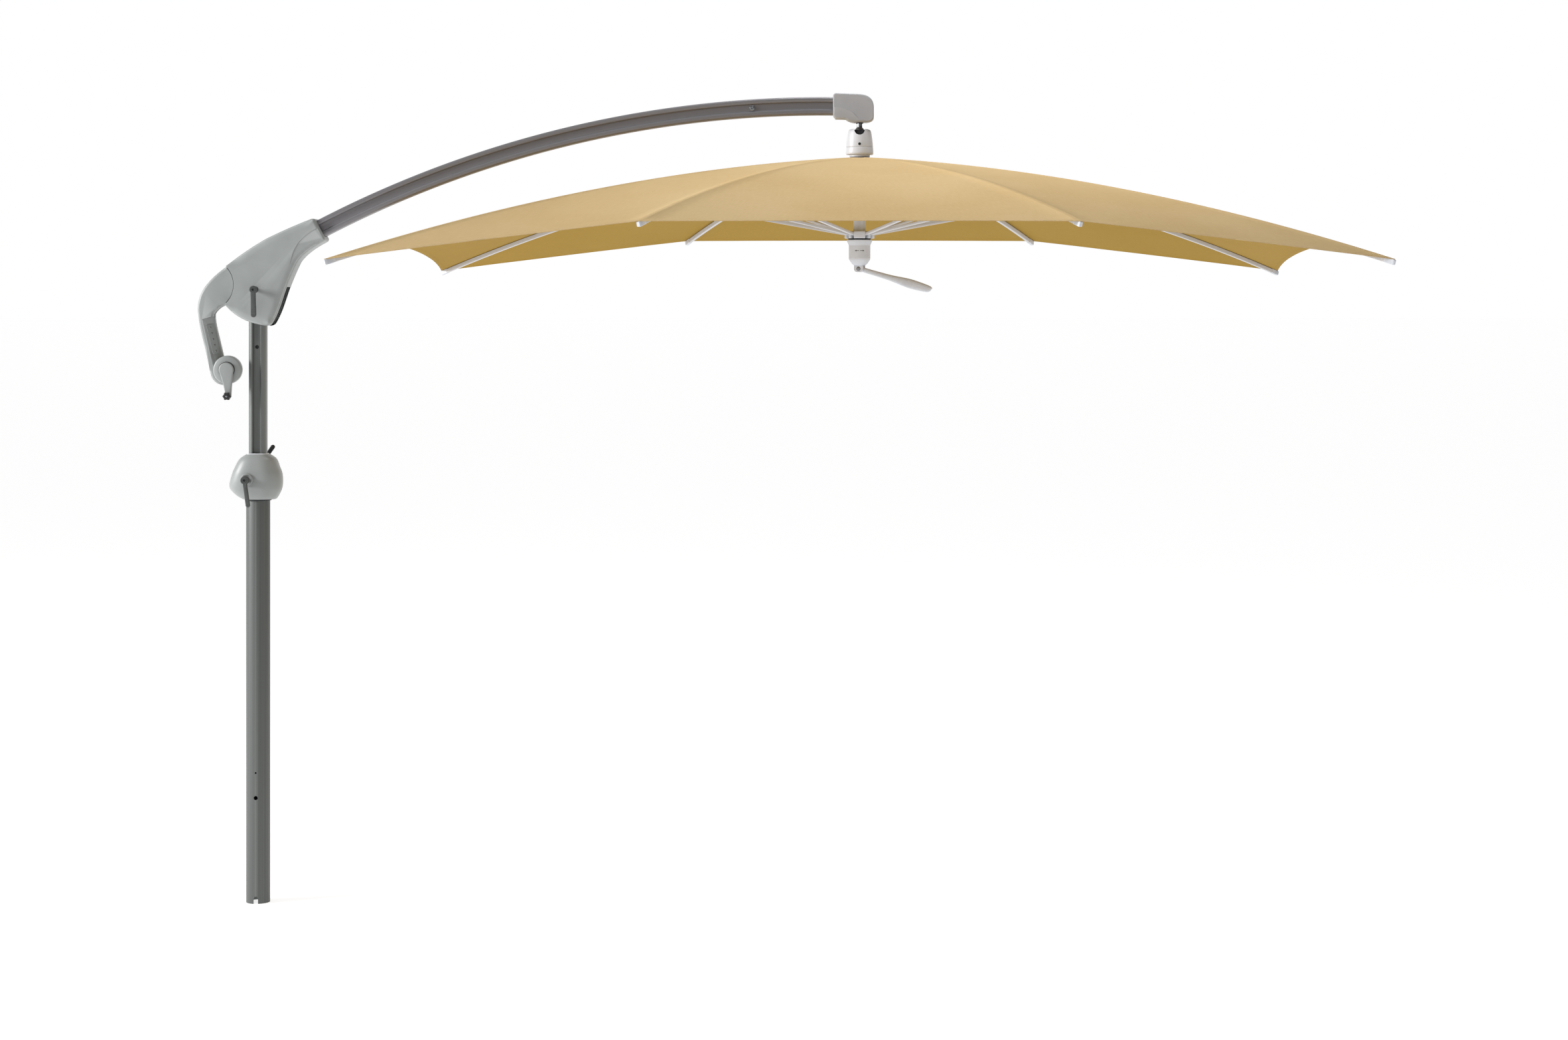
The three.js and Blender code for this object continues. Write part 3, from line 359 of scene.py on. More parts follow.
def make_materials():
    return {
        "mast": drawn_aluminium("anodised_mast", "686b69", "858886", "5e615f", 0.42, None, 0.35),
        "boom": drawn_aluminium("anodised_boom", "848386", "a3a2a5", "79777b", 0.4, "grain", 0.4),
        "rib": drawn_aluminium("coated_rib", "cfcfd2", "e4e4e6", "c3c3c6", 0.45, "grain", 0.0),
        "pole": drawn_aluminium("satin_pole", "d6dae2", "e4e6ea", "cacdd4", 0.4, None, 0.0),
        "block": turned_metal("bare_aluminium", "b4b6b8", "9b9da0", 0.35),
        "casting": powder_coat("grey_powder_coat", "999d9c", "b6bab9", "929695"),
        "end_cap": powder_coat("end_cap_coat", "abadb3", "c0c2c6", "a3a5aa"),
        "bell": powder_coat("bell_coat", "dadde4", "e8eaee", "d2d5dc", 0.38),
        "fitting": moulded_plastic("light_fitting", "d2d5dc", "e6e8ec", "cacdd4"),
        "lever": moulded_plastic("dark_lever", "484b4a", "6a6d6b", "404342", 0.5, 0.6),
        "black": moulded_plastic("black_plastic", "1d1e20", "3a3b3d", "17181a"),
        "steel": turned_metal("zinc_steel", "a4a7aa", "85888b"),
        "bronze": turned_metal("bronze", "a98650", "8a6b3c", 0.35),
        "fabric": woven_fabric("sand_fabric", "cfb383", "dcc59a", "bf9f6a"),
        # The same fabric seen from below: its darker, deeper ochre is painted shade and painted light shining
        # through the cloth
        "painted_shade_underside": woven_fabric("painted_shade_fabric_underside", "a5863f", "ae8f48", "9a7a38"),
    }


# ---------------------------------------------------------------- outlines


class Outline:
    """A closed outline in the XZ plane: lines, quadratic curves and arcs, in millimetres."""

    def __init__(self, x, z):
        self.points = [Vector((x, z))]

    def line(self, x, z):
        self.points.append(Vector((x, z)))
        return self

    def curve(self, control, end, steps=12):
        start, control, end = self.points[-1], Vector(control), Vector(end)
        for i in range(1, steps + 1):
            t = i / steps
            self.points.append(start * (1 - t) ** 2 + control * (2 * t * (1 - t)) + end * t * t)
        return self

    def arc(self, centre, radius, start, end, steps=24):
        for i in range(steps + 1):
            angle = start + (end - start) * i / steps
            point = Vector((centre[0] + radius * cos(angle), centre[1] + radius * sin(angle)))
            if (point - self.points[-1]).length > 0.05:
                self.points.append(point)
        return self

    def closed(self):
        """The points, anticlockwise, without a repeated last one."""
        points = list(self.points)
        if (points[0] - points[-1]).length < 0.05:
            points.pop()
        area = sum(a.cross(b) for a, b in zip(points, points[1:] + points[:1]))
        return points if area > 0 else points[::-1]


def circle(centre, radius, steps=48):
    return [Vector((centre[0] + radius * cos(a), centre[1] + radius * sin(a)))
            for a in (2 * pi * i / steps for i in range(steps))]


def rectangle(x0, x1, z0, z1, corner=0.0, steps=5):
    if not corner:
        return [Vector(p) for p in ((x0, z0), (x1, z0), (x1, z1), (x0, z1))]
    left, right, low, high = x0 + corner, x1 - corner, z0 + corner, z1 - corner
    centres = [(right, low), (right, high), (left, high), (left, low)]
    outline = Outline(right, z0)
    for quarter, centre in enumerate(centres):
        start = (quarter - 1) * pi / 2
        outline.arc(centre, corner, start, start + pi / 2, steps)
    return outline.closed()


def inset(points, distances):
    """An anticlockwise outline moved inwards, by one distance or by one for each point."""
    if not isinstance(distances, list):
        distances = [distances] * len(points)
    moved_points = []
    earlier, later = points[-1:] + points[:-1], points[1:] + points[:1]
    for before, point, after, distance in zip(earlier, points, later, distances):
        a, b = (point - before).normalized(), (after - point).normalized()
        inwards = Vector((-a.y - b.y, a.x + b.x)).normalized()
        stretch = max(inwards.dot(Vector((-a.y, a.x))), 0.6)
        moved_points.append(point + inwards * (distance / stretch))
    return moved_points


def rim_widths(points, edge, crisp):
    """How wide the rounding of a rim may be at each point, so that it never folds over itself."""
    count, narrow = len(points), min(edge, 1.5)
    widths = []
    for i, point in enumerate(points):
        a, b = point - points[i - 2], points[(i + 2) % count] - point
        bend = atan2(a.cross(b), a.dot(b))
        radius = (a.length + b.length) / 2 / bend if bend > 0.02 else inf
        width = max(narrow, min(edge, 0.6 * radius))
        widths.append(narrow if crisp and crisp(point) else width)
    return [min(width + 0.7 * (point - other).length for other, width in zip(points, widths))
            for point in points]


def rounded_profile(profile, steps=4):
    """A profile of (radius, height, fillet) points, with each fillet drawn as a short arc."""
    points = []
    for i, (x, y, fillet) in enumerate(profile):
        corner = Vector((x, y))
        if not fillet or i in (0, len(profile) - 1):
            points.append(corner)
            continue
        before, after = Vector(profile[i - 1][:2]) - corner, Vector(profile[i + 1][:2]) - corner
        reach = min(fillet, before.length * 0.49, after.length * 0.49)
        start, end = corner + before.normalized() * reach, corner + after.normalized() * reach
        for k in range(steps + 1):
            t = k / steps
            points.append(start * (1 - t) ** 2 + corner * (2 * t * (1 - t)) + end * t * t)
    return points


# ---------------------------------------------------------------- solids


def soften(obj, angle=32):
    """Smooth shading, with edges sharper than an angle kept crisp."""
    obj.data.shade_smooth()
    obj.data.set_sharp_from_angle(angle=radians(angle))
    return obj


def solid(points, faces, angle=32):
    """An object from points in millimetres and faces, with its faces pointing out."""
    mesh = bpy.data.meshes.new("solid")
    mesh.from_pydata([Vector(p) * MM for p in points], [], faces)
    build = bmesh.new()
    build.from_mesh(mesh)
    bmesh.ops.recalc_face_normals(build, faces=build.faces)
    build.to_mesh(mesh)
    build.free()
    return soften(linked("solid", mesh), angle)


def loft(rings, angle=32, ring_shaped=False):
    """A skin through rings of equally many points, with flat ends, or joined back to its first ring."""
    count = len(rings[0])
    points = [p for ring in rings for p in ring]
    levels = len(rings) if ring_shaped else len(rings) - 1
    faces = []
    for level in range(levels):
        low, high = level * count, (level + 1) % len(rings) * count
        for i in range(count):
            after = (i + 1) % count
            faces.append((low + i, low + after, high + after, high + i))
    if not ring_shaped:
        faces.append(tuple(reversed(range(count))))
        faces.append(tuple(range(levels * count, (levels + 1) * count)))
    return solid(points, faces, angle)


FINE_EDGE = 4  # a rim no wider than this can't fold over itself


def slab(points, y0, y1, edge=2.0, steps=4, both=True, crisp=None, width=None):
    """An outline with depth from y0 to y1, its rims rounded: both of them, or only the y0 rim.

    The rounding takes the edge's depth and reaches in by its width. A crisp point keeps a narrow one.
    """
    direction = 1 if y1 > y0 else -1
    quarter = [k * pi / 2 / steps for k in range(steps + 1)]
    levels = [(y0 + direction * edge * (1 - cos(a)), 1 - sin(a)) for a in quarter]
    far = [(y1 - direction * edge * (1 - cos(a)), 1 - sin(a)) for a in reversed(quarter)]
    levels += far if both else [(y1, 0)]
    widths = rim_widths(points, width or edge, crisp) if edge > FINE_EDGE else [edge] * len(points)
    rings = [(y, inset(points, [share * w for w in widths])) for y, share in levels]
    return loft([[(p.x, y, p.y) for p in ring] for y, ring in rings])


def on_axis(axis, radius, height, angle, centre):
    a, b = radius * cos(angle), radius * sin(angle)
    local = {"Z": (a, b, height), "Y": (a, height, b), "X": (height, a, b)}[axis]
    return Vector(local) + centre


def turned(profile, centre=(0, 0, 0), axis="Z", segments=72, bored=False):
    """A turned solid from (radius, height, fillet) points. A bored one closes on itself."""
    centre = Vector(centre)
    points = rounded_profile(list(profile) + ([profile[0]] if bored else []))
    points = [p for p in points if p.x > 1e-6]
    if bored:
        points.pop()
    angles = [2 * pi * i / segments for i in range(segments)]
    return loft([[on_axis(axis, p.x, p.y, a, centre) for a in angles] for p in points], ring_shaped=bored)


def band(inner, outer, low, high, centre=(0, 0, 0), axis="Z", segments=72, edges=(0, 0, 0, 0)):
    """A ring of rectangular section, with fillets: inner low, outer low, outer high, inner high."""
    profile = zip((inner, outer, outer, inner), (low, low, high, high), edges)
    return turned(list(profile), centre, axis, segments, bored=True)


def rod(radius, centre, low, high, axis="Z", edge=0.6, segments=48):
    profile = [(0, low, 0), (radius, low, edge), (radius, high, edge), (0, high, 0)]
    return turned(profile, centre, axis, segments)


def sphere(radius, centre, segments=64):
    steps = 32
    profile = [(radius * cos(a), radius * sin(a), 0)
               for a in (pi * (k / steps - 0.5) for k in range(1, steps))]
    return turned([(0, -radius, 0), *profile, (0, radius, 0)], centre, "Z", segments)


def block(x, y, z):
    """A plain box for cutting with, from three (low, high) pairs."""
    return loft([[(x[0], y[0], h), (x[1], y[0], h), (x[1], y[1], h), (x[0], y[1], h)] for h in z])


def bake(obj):
    """Turn an object's modifiers into its mesh."""
    bpy.context.view_layer.update()
    graph = bpy.context.evaluated_depsgraph_get()
    mesh = bpy.data.meshes.new_from_object(obj.evaluated_get(graph), depsgraph=graph)
    obj.modifiers.clear()
    obj.data = mesh
    return obj


def combine(operation, obj, tools):
    for tool in tools:
        modifier = obj.modifiers.new("combine", "BOOLEAN")
        modifier.operation, modifier.solver, modifier.object = operation, "EXACT", tool
    bake(obj)
    for tool in tools:
        bpy.data.objects.remove(tool)
    return soften(obj)


def cut(obj, *tools):
    return combine("DIFFERENCE", obj, tools)


def join(obj, *tools):
    return combine("UNION", obj, tools)


def moved(obj, matrix):
    """Apply a matrix, whose translation is in millimetres, to an object's mesh."""
    matrix = matrix.copy()
    matrix.translation *= MM
    obj.data.transform(matrix)
    return obj


def turn(angle, axis, centre=(0, 0, 0)):
    """A turn about an axis through a centre, in degrees and millimetres."""
    centre = Matrix.Translation(centre)
    return centre @ Matrix.Rotation(radians(angle), 4, axis) @ centre.inverted()


def piece(name, obj, look, body, replaces=None):
    """Name a solid, and give it its look, its body and the CAD node it stands for."""
    obj.name = obj.data.name = name
    obj.data.materials.clear()
    obj.data.materials.append(MATERIAL[look])
    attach(obj, body)
    if replaces:
        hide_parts(replaces)
    return obj


def hexagon(centre, radius):
    return circle(centre, radius, 6)


def bolt_head(centre, radius, face, sunk, direction=-1):
    """A round socket-head screw along Y, from the depth it starts at to its outer face."""
    low, high = sorted((face, sunk))
    head = rod(radius, (centre[0], 0, centre[1]), low, high, "Y", radius * 0.16)
    socket = slab(hexagon(centre, radius * 0.5), face + direction, face - direction * radius * 0.55, 0.05)
    return cut(head, socket)


# ---------------------------------------------------------------- mast


def grooved_section(width, height, corner, groove, depth):
    """A section with round corners and a lipped groove in its left and right sides."""
    w, h, edge, lip = width / 2, height / 2, groove / 2, 1.2
    floor = edge - depth / 3

    def side(direction):
        rows = [(0, -edge - lip), (0.35 * lip, -edge - 0.35 * lip), (lip, -edge),
                (depth - lip, -floor - 0.4), (depth, -floor + lip)]
        rows += [(sunk, -z) for sunk, z in reversed(rows)]
        return [Vector((direction * (w - sunk), direction * z)) for sunk, z in rows]

    outline = Outline(w, -h + corner)
    outline.points += side(1)
    outline.arc((w - corner, h - corner), corner, 0, pi / 2, 6)
    outline.arc((-w + corner, h - corner), corner, pi / 2, pi, 6)
    outline.points += side(-1)
    outline.arc((-w + corner, -h + corner), corner, pi, 1.5 * pi, 6)
    outline.arc((w - corner, -h + corner), corner, 1.5 * pi, 2 * pi, 6)
    return outline.closed()


def make_lower_mast():
    low, high = node_box("lower_mast")
    radius, wall = high.x, 3.5
    inner = radius - wall
    tube = band(inner, radius, low.z, high.z, segments=128, edges=(0.8,) * 4)
    slot = 8.5
    key = Outline(-slot, -5).line(slot, -5).line(slot, 18.5).arc((0, 18.5), slot, 0, pi, 16).closed()
    reach = radius + 5
    cut(tube, slab(key, -reach, reach, 0.01), rod(7.5, (0, 0, 393), -reach, reach, "Y", 0),
        rod(3.3, (0, 0, 486), -reach, reach, "Y", 0))
    piece("lower_mast_tube", tube, "mast", "mast_base", "lower_mast")


def make_upper_mast():
    low, high = node_box("upper_mast")
    section = grooved_section(high.y - low.y, high.x - low.x, 16, 30, 9)
    rings = [[(-p.y, p.x, z) for p in section] for z in (low.z, high.z)]
    mast = loft(rings)
    hollow = block((-28, 28), (-15, 15), (low.z - 1, high.z + 1))
    cut(mast, hollow, rod(7, (0, 0, 2067), -60, 60, "Y", 0))
    piece("upper_mast_profile", mast, "mast", "mast", "upper_mast")
    piece("mast_stop_plug", rod(6.8, (0, 0, 2067), -14.5, 14.5, "Y", 0.8), "black", "mast")


# Height, left and right limit and half depth of the joint housing.
JOINT_LEVELS = [
    (1501, -54, 67, 52), (1516, -79, 77, 61), (1546, -104, 89, 68), (1590, -96, 89, 70),
    (1620, -84, 79, 66), (1650, -67, 67, 57), (1668, -42, 42, 42),
]


def smooth_levels(levels, steps=6):
    """Levels on a Catmull-Rom curve through the given ones."""
    ends = [levels[0], *levels, levels[-1]]
    fine = []
    for a, b, c, d in zip(ends, ends[1:], ends[2:], ends[3:]):
        for k in range(steps):
            t = k / steps
            weights = (-t ** 3 + 2 * t * t - t, 3 * t ** 3 - 5 * t * t + 2,
                       -3 * t ** 3 + 4 * t * t + t, t ** 3 - t * t)
            fine.append([sum(w * v for w, v in zip(weights, column)) / 2 for column in zip(a, b, c, d)])
    return fine + [list(levels[-1])]


def square_ring(z, left, right, depth, sides=96, power=0.75):
    """A level ring between two limits of X, squarer than an ellipse."""
    ring = []
    for i in range(sides):
        angle = 2 * pi * i / sides
        c, s = cos(angle), sin(angle)
        x = (left + right) / 2 + (right - left) / 2 * copysign(abs(c) ** power, c)
        ring.append((x, depth * copysign(abs(s) ** power, s), z))
    return ring


def make_joint_housing():
    wall = 6
    levels = smooth_levels(JOINT_LEVELS)
    top = JOINT_LEVELS[-1][0]
    outer = [square_ring(z, left, right, depth) for z, left, right, depth in levels]
    inner = [square_ring(min(max(z, 1507), top - wall) + 0.01 * i, left + wall, right - wall, depth - wall)
             for i, (z, left, right, depth) in enumerate(levels)]
    bosses = {
        -1: ("slide_lever_turn", 7.4, (-52, -76)),
        1: ("turn_lever_turn", 7.4, (50, 74)),
    }
    for side, name in ((-1, "joint_front_shell"), (1, "joint_rear_shell")):
        joint, bore, (start, end) = bosses[side]
        place = joint_point(joint)
        shell = loft(outer)
        low, high = sorted((start, end))
        join(shell, rod(23, (place.x, 0, place.z), low, high, "Y", 3.5))
        recess = rod(17.5, (place.x, 0, place.z), *sorted((end - side * 3, end + side * 10)), "Y", 0.8)
        half = [(-300, 300), sorted((side * PARTING, -side * 400)), (1400, 1800)]
        opening = rectangle(-32.6, 32.6, -28.6, 28.6, 9)
        mouth = loft([[(p.x, p.y, z) for p in opening] for z in (1655, 1680)])
        cut(shell, loft(inner), rod(44.6, (0, 0, 0), 1490, 1510, "Z", 0, 96),
            mouth, recess, rod(bore, (place.x, 0, place.z), *sorted((0, side * 90)), "Y", 0), block(*half))
        piece(name.replace("_shell", "_casting"), shell, "casting", "turntable", name)
    rim = band(44.3, 49, 1495.5, 1500.9, edges=(0.5, 1.5, 0.5, 0.5))
    piece("joint_lower_seal", rim, "black", "turntable")
    # Half width, half depth, corner radius and height of the wiper's rings.
    wiper = [(32.4, 28.4, 9, 1664), (32.4, 28.4, 9, 1671), (35.5, 31.5, 12, 1671),
             (37, 33, 13, 1668.2), (37, 33, 13, 1664)]
    rings = [[(p.x, p.y, z) for p in rectangle(-x, x, -y, y, corner)] for x, y, corner, z in wiper]
    piece("joint_top_wiper", loft(rings, ring_shaped=True), "fitting", "turntable")


def make_clamp_lever(name, joint, node, look, stem, boss, radius, tip, tip_half):
    """A clamp lever along Y: its stem starts at a depth, its boss spans two, and its arm runs to a tip."""
    place = joint_point(joint)
    body = JOINT[joint]["child"]
    out = copysign(1, boss[1] - boss[0])
    along = Vector((tip[0] - place.x, tip[1] - place.z))
    reach = along.length
    heading = atan2(along.y, along.x)
    neck = tip_half * 0.94
    arm = Outline(0, -neck).line(reach * 0.4, -neck).line(reach - tip_half, -tip_half)
    arm.arc((reach - tip_half, 0), tip_half, -pi / 2, pi / 2, 16)
    arm.line(reach * 0.4, neck).line(0, neck).arc((0, 0), neck, pi / 2, 1.5 * pi, 20)
    c, s = cos(heading), sin(heading)
    points = [Vector((place.x + p.x * c - p.y * s, place.z + p.x * s + p.y * c)) for p in arm.closed()]
    lever = slab(points, *sorted((boss[1] - out * 11, boss[1])), edge=3.2, steps=5)
    join(lever, rod(radius, place, *sorted(boss), "Y", 2.6, 64))
    grooves = []
    for k in range(5):
        spot = Vector((place.x, place.z)) + along * (0.72 + 0.055 * k)
        groove = rod(1.3, (0, 0, 0), -tip_half - 3, tip_half + 3, "X", 0, 12)
        grooves.append(moved(groove, Matrix.Translation((spot.x, boss[1] + out * 0.5, spot.y))
                             @ Matrix.Rotation(-heading + pi / 2, 4, "Y")))
    socket = slab(hexagon((place.x, place.z), radius * 0.36), boss[1] + out * 2, boss[1] - out * 6, 0.05)
    ring = band(radius * 0.55, radius * 0.66, boss[1] - out * 0.7, boss[1] + out * 2, place, "Y", 48)
    cut(lever, socket, ring, *grooves)
    lever = piece(name, lever, look, body, node)
    shaft = rod(radius * 0.5 if radius < 14 else 7, place, *sorted((stem, boss[0] + out)), "Y", 0.5)
    piece(name + "_stem", shaft, "steel", body)
    inside, outside = boss[0] - out * 4, boss[0] - out * 0.4
    washer = band(radius * 0.55, radius * 0.92, inside, outside, place, "Y", 48, (0.6,) * 4)
    piece(name + "_washer", washer, "black", body)


# ---------------------------------------------------------------- head, arm and crank

ARM_TOP = {"centre": (-179, 2298), "radius": 97, "from": -0.86, "to": 0.8}
CHEEK = 52
ARM_HALF = 28


def on_arm_top(radius, angle):
    x, z = ARM_TOP["centre"]
    return x + radius * cos(angle), z + radius * sin(angle)


def head_outline():
    radius = ARM_TOP["radius"] + 0.6
    shape = Outline(*on_arm_top(radius, ARM_TOP["to"]))
    shape.curve((-42, 2423), (34.6, 2467.7), 16).curve((120, 2510), (205, 2543), 14)
    shape.curve((217, 2546), (222, 2536), 6).line(256, 2471).curve((258, 2463), (250, 2458), 5)
    shape.curve((178, 2420), (153, 2381), 14).curve((128, 2330), (108.7, 2276.4), 12).line(92.2, 2226.7)
    shape.curve((76, 2180), (60, 2155), 12).curve((52, 2144), (36, 2146), 6)
    shape.curve((-62, 2158), on_arm_top(radius, ARM_TOP["from"]), 20)
    shape.arc(ARM_TOP["centre"], radius, ARM_TOP["from"], ARM_TOP["to"], 28)
    return shape.closed()


def beside_arm(point):
    """Whether a point of an outline lies on the joint between the head and the arm."""
    return abs((point - Vector(ARM_TOP["centre"])).length - ARM_TOP["radius"]) < 2 and point.x > -160


def arm_outline():
    shape = Outline(*on_arm_top(ARM_TOP["radius"], ARM_TOP["from"]))
    shape.arc(ARM_TOP["centre"], ARM_TOP["radius"], ARM_TOP["from"], ARM_TOP["to"], 28)
    shape.curve((-160, 2333), (-183, 2304), 10).curve((-221, 2262), (-221, 2204.7), 14)
    shape.curve((-215, 2140), (-194.5, 2066.8), 12).line(-174, 1975)
    shape.arc((-123, 1976), 51, pi, 2 * pi, 40)
    shape.curve((-74, 2010), (-131, 2033.7), 12).line(-153.2, 2127.4)
    shape.curve((-164, 2174), (-161, 2190), 8)
    shape.curve((-148, 2214), on_arm_top(ARM_TOP["radius"], ARM_TOP["from"]), 8)
    return shape.closed()


BOOM = {"centre": (2100, -1077), "radius": 4040, "height": 66, "width": 56}


def boom_frames(start_x, end_x, steps):
    """Centre, up direction and distance along the boom's arc, between two values of X."""
    (cx, cz), radius = BOOM["centre"], BOOM["radius"]
    first, last = (acos((x - cx) / radius) for x in (start_x, end_x))
    for i in range(steps + 1):
        angle = first + (last - first) * i / steps
        up = Vector((cos(angle), 0, sin(angle)))
        yield Vector((cx, 0, cz)) + up * radius, up, radius * (first - angle)


def along_boom(section, start_x, end_x, steps):
    """A section of (Y, up) points swept along the boom, with the attribute grain for its die lines."""
    frames = list(boom_frames(start_x, end_x, steps))
    rings = [[centre + Vector((0, p.x, 0)) + up * p.y for p in section] for centre, up, _ in frames]
    obj = loft(rings)
    store(obj, "grain", [(p.x * MM, p.y * MM, distance * MM) for *_, distance in frames for p in section])
    return obj


def store(obj, name, vectors):
    attribute = obj.data.attributes.new(name, "FLOAT_VECTOR", "POINT")
    attribute.data.foreach_set("vector", [value for vector in vectors for value in vector])


def sector_sweep():
    """The space in the head and the arm that the worm's sector turns through."""
    radius, (start, end) = 191.6, (radians(170), radians(217))
    outline = Outline(PIVOT.x, PIVOT.z).arc((PIVOT.x, PIVOT.z), radius, start, end, 20).closed()
    return slab(outline, -6.6, 6.6, 0.01)


def make_head():
    outline, wall, rim_depth, rim_width = head_outline(), 6, 15, 30
    for side, name in ((-1, "head_front_shell"), (1, "head_rear_shell")):
        shell = slab(outline, side * CHEEK, side * PARTING, rim_depth, 12, both=False, crisp=beside_arm,
                     width=rim_width)
        hollow = slab(inset(outline, wall), *sorted((side * (CHEEK - wall), -side * 10)), edge=0.01)
        swing = block((-42, 160), sorted((side * 31, -side * 10)), (2100, PIVOT.z + 10))
        pocket = along_boom(rectangle(-29, 29, -34, 34, 6), 130, 300, 6)
        sleeve = Outline(300, 2540).line(225, 2506).curve((168, 2478), (144, 2428), 14)
        sleeve.curve((131, 2398), (124, 2350), 8).line(124, 2300).line(300, 2300)
        recess = slab(sleeve.closed(), side * (CHEEK + 5), side * (CHEEK - 1.6), 0.01)
        cut(shell, hollow, swing, pocket, sector_sweep(), recess,
            rod(12.3, PIVOT, *sorted((side * 70, 0)), "Y", 0))
        piece(name.replace("_shell", "_casting"), shell, "casting", "head", name)
    axle = turned([(0, -CHEEK, 0), (12, -CHEEK, 0.8), (12, CHEEK, 0), (17, CHEEK, 0.5), (17, CHEEK + 3.5, 2),
                   (0, CHEEK + 3.5, 0)], PIVOT, "Y")
    cut(axle, slab(hexagon((PIVOT.x, PIVOT.z), 7), CHEEK + 6, CHEEK - 4, 0.01))
    piece("tilt_axle", axle, "steel", "head", "pivot_axle")


# The slanted inner side of the arm: where its edge starts, its lean from the vertical in degrees, and
# its width and depth across.
FACET = {"x": -131, "z": 2033.7, "lean": 13.3, "width": 38, "depth": 28, "bottom": -45, "top": 150}
GEAR_CAN_RADIUS = 52.6


def to_arm_edge(obj):
    """Stand a solid, drawn along Z beside the arm's inner edge, where that edge runs."""
    place = Matrix.Translation((FACET["x"], 0, FACET["z"]))
    return moved(obj, place @ Matrix.Rotation(radians(-FACET["lean"]), 4, "Y"))


def arm_wedge(inwards):
    """The wedge that cuts the arm's inner side to its slant, moved in by a distance."""
    width, depth = FACET["width"], FACET["depth"]
    slant = atan2(depth, width)
    left, right = -width - 4, 20
    shift = Vector((-inwards * sin(slant), inwards * cos(slant)))
    corners = [Vector((x, depth / width * (edge + width) - ARM_HALF)) + shift
               for x, edge in ((left, left), (right, left), (right, right))]
    wedge = to_arm_edge(loft([[(p.x, p.y, z) for p in corners] for z in (FACET["bottom"], FACET["top"])]))
    return cut(wedge, rod(GEAR_CAN_RADIUS + 1.5, CRANK, -60, 60, "Y", 0, 96))


def make_arm():
    outline = arm_outline()
    arm = slab(outline, -ARM_HALF, ARM_HALF, 10, 8, crisp=beside_arm)
    hollow = slab(inset(outline, 6), -ARM_HALF + 6, ARM_HALF - 6, 0.01)
    cut(hollow, arm_wedge(6))
    cut(arm, hollow, arm_wedge(0), sector_sweep(), rod(19.5, CRANK, -ARM_HALF - 1, 0, "Y", 0))
    piece("crank_arm_casting", arm, "casting", "head", "crank_arm")

    # A thin black strip on each face, along the joint between the head and the arm, is painted shadow for the
    # gap there
    outer, inner = ARM_TOP["radius"] - 2.6, ARM_TOP["radius"] - 5.2
    start, end = ARM_TOP["from"] + 0.06, ARM_TOP["to"] - 0.05
    for side, name in ((-1, "front"), (1, "rear")):
        seal = Outline(*on_arm_top(outer, start)).arc(ARM_TOP["centre"], outer, start, end, 40)
        seal.line(*on_arm_top(inner, end)).arc(ARM_TOP["centre"], inner, end, start, 40)
        depths = sorted((side * (ARM_HALF - 1), side * (ARM_HALF + 0.25)))
        strip = slab(seal.closed(), *depths, edge=0.2, steps=1)
        piece(f"arm_joint_painted_shadow_gap_{name}", strip, "black", "head")

    half, thickness, bottom, top = 15, 3, 12, 124
    slant = Matrix.Translation((-FACET["width"] / 2, FACET["depth"] / 2 - ARM_HALF, 0)) \
        @ Matrix.Rotation(atan2(FACET["depth"], FACET["width"]), 4, "Z")
    plate = slab(rectangle(-half, half, bottom, top, 8), -thickness - 0.3, -0.3, 0.9)
    plate = to_arm_edge(moved(plate, slant))
    piece("arm_cover_plate", plate, "casting", "head", "arm_cover")
    count = 5
    for k in range(count):
        height = bottom + (k + 0.5) * (top - bottom) / count
        face = -thickness - 0.3
        profile = [(0, face - 1.6, 0), (2.2, face - 1.4, 0.6), (3.4, face + 0.3, 0.3),
                   (3.2, face + 0.5, 0), (0, face + 0.5, 0)]
        screw = turned(profile, (0, 0, height), "Y", 32)
        cross = [block((-2, 2), (face - 3, face - 0.8), (height - 0.45, height + 0.45)),
                 block((-0.45, 0.45), (face - 3, face - 0.8), (height - 2, height + 2))]
        screw = to_arm_edge(moved(cut(screw, *cross), slant))
        piece(f"arm_cover_screw_{k + 1}", screw, "steel", "head")


def make_gear_housing():
    front, back = -60, -ARM_HALF - 0.4
    radius, wall = GEAR_CAN_RADIUS, 6.6
    inner, roof = radius - wall, front + 6
    can = turned([(0, front, 0), (36, front, 4), (49, front + 3, 5), (radius, front + 8, 5),
                  (radius, back, 0.8), (inner, back, 0.4), (inner, roof, 0.4), (0, roof, 0)], CRANK, "Y", 128)
    groove = band(radius - 1, radius + 7, -40, -38.8, CRANK, "Y", 128)
    cut(can, rod(6.5, CRANK, front - 1, back + 1, "Y", 0), groove)
    piece("gear_can", can, "casting", "head", "gear_housing")


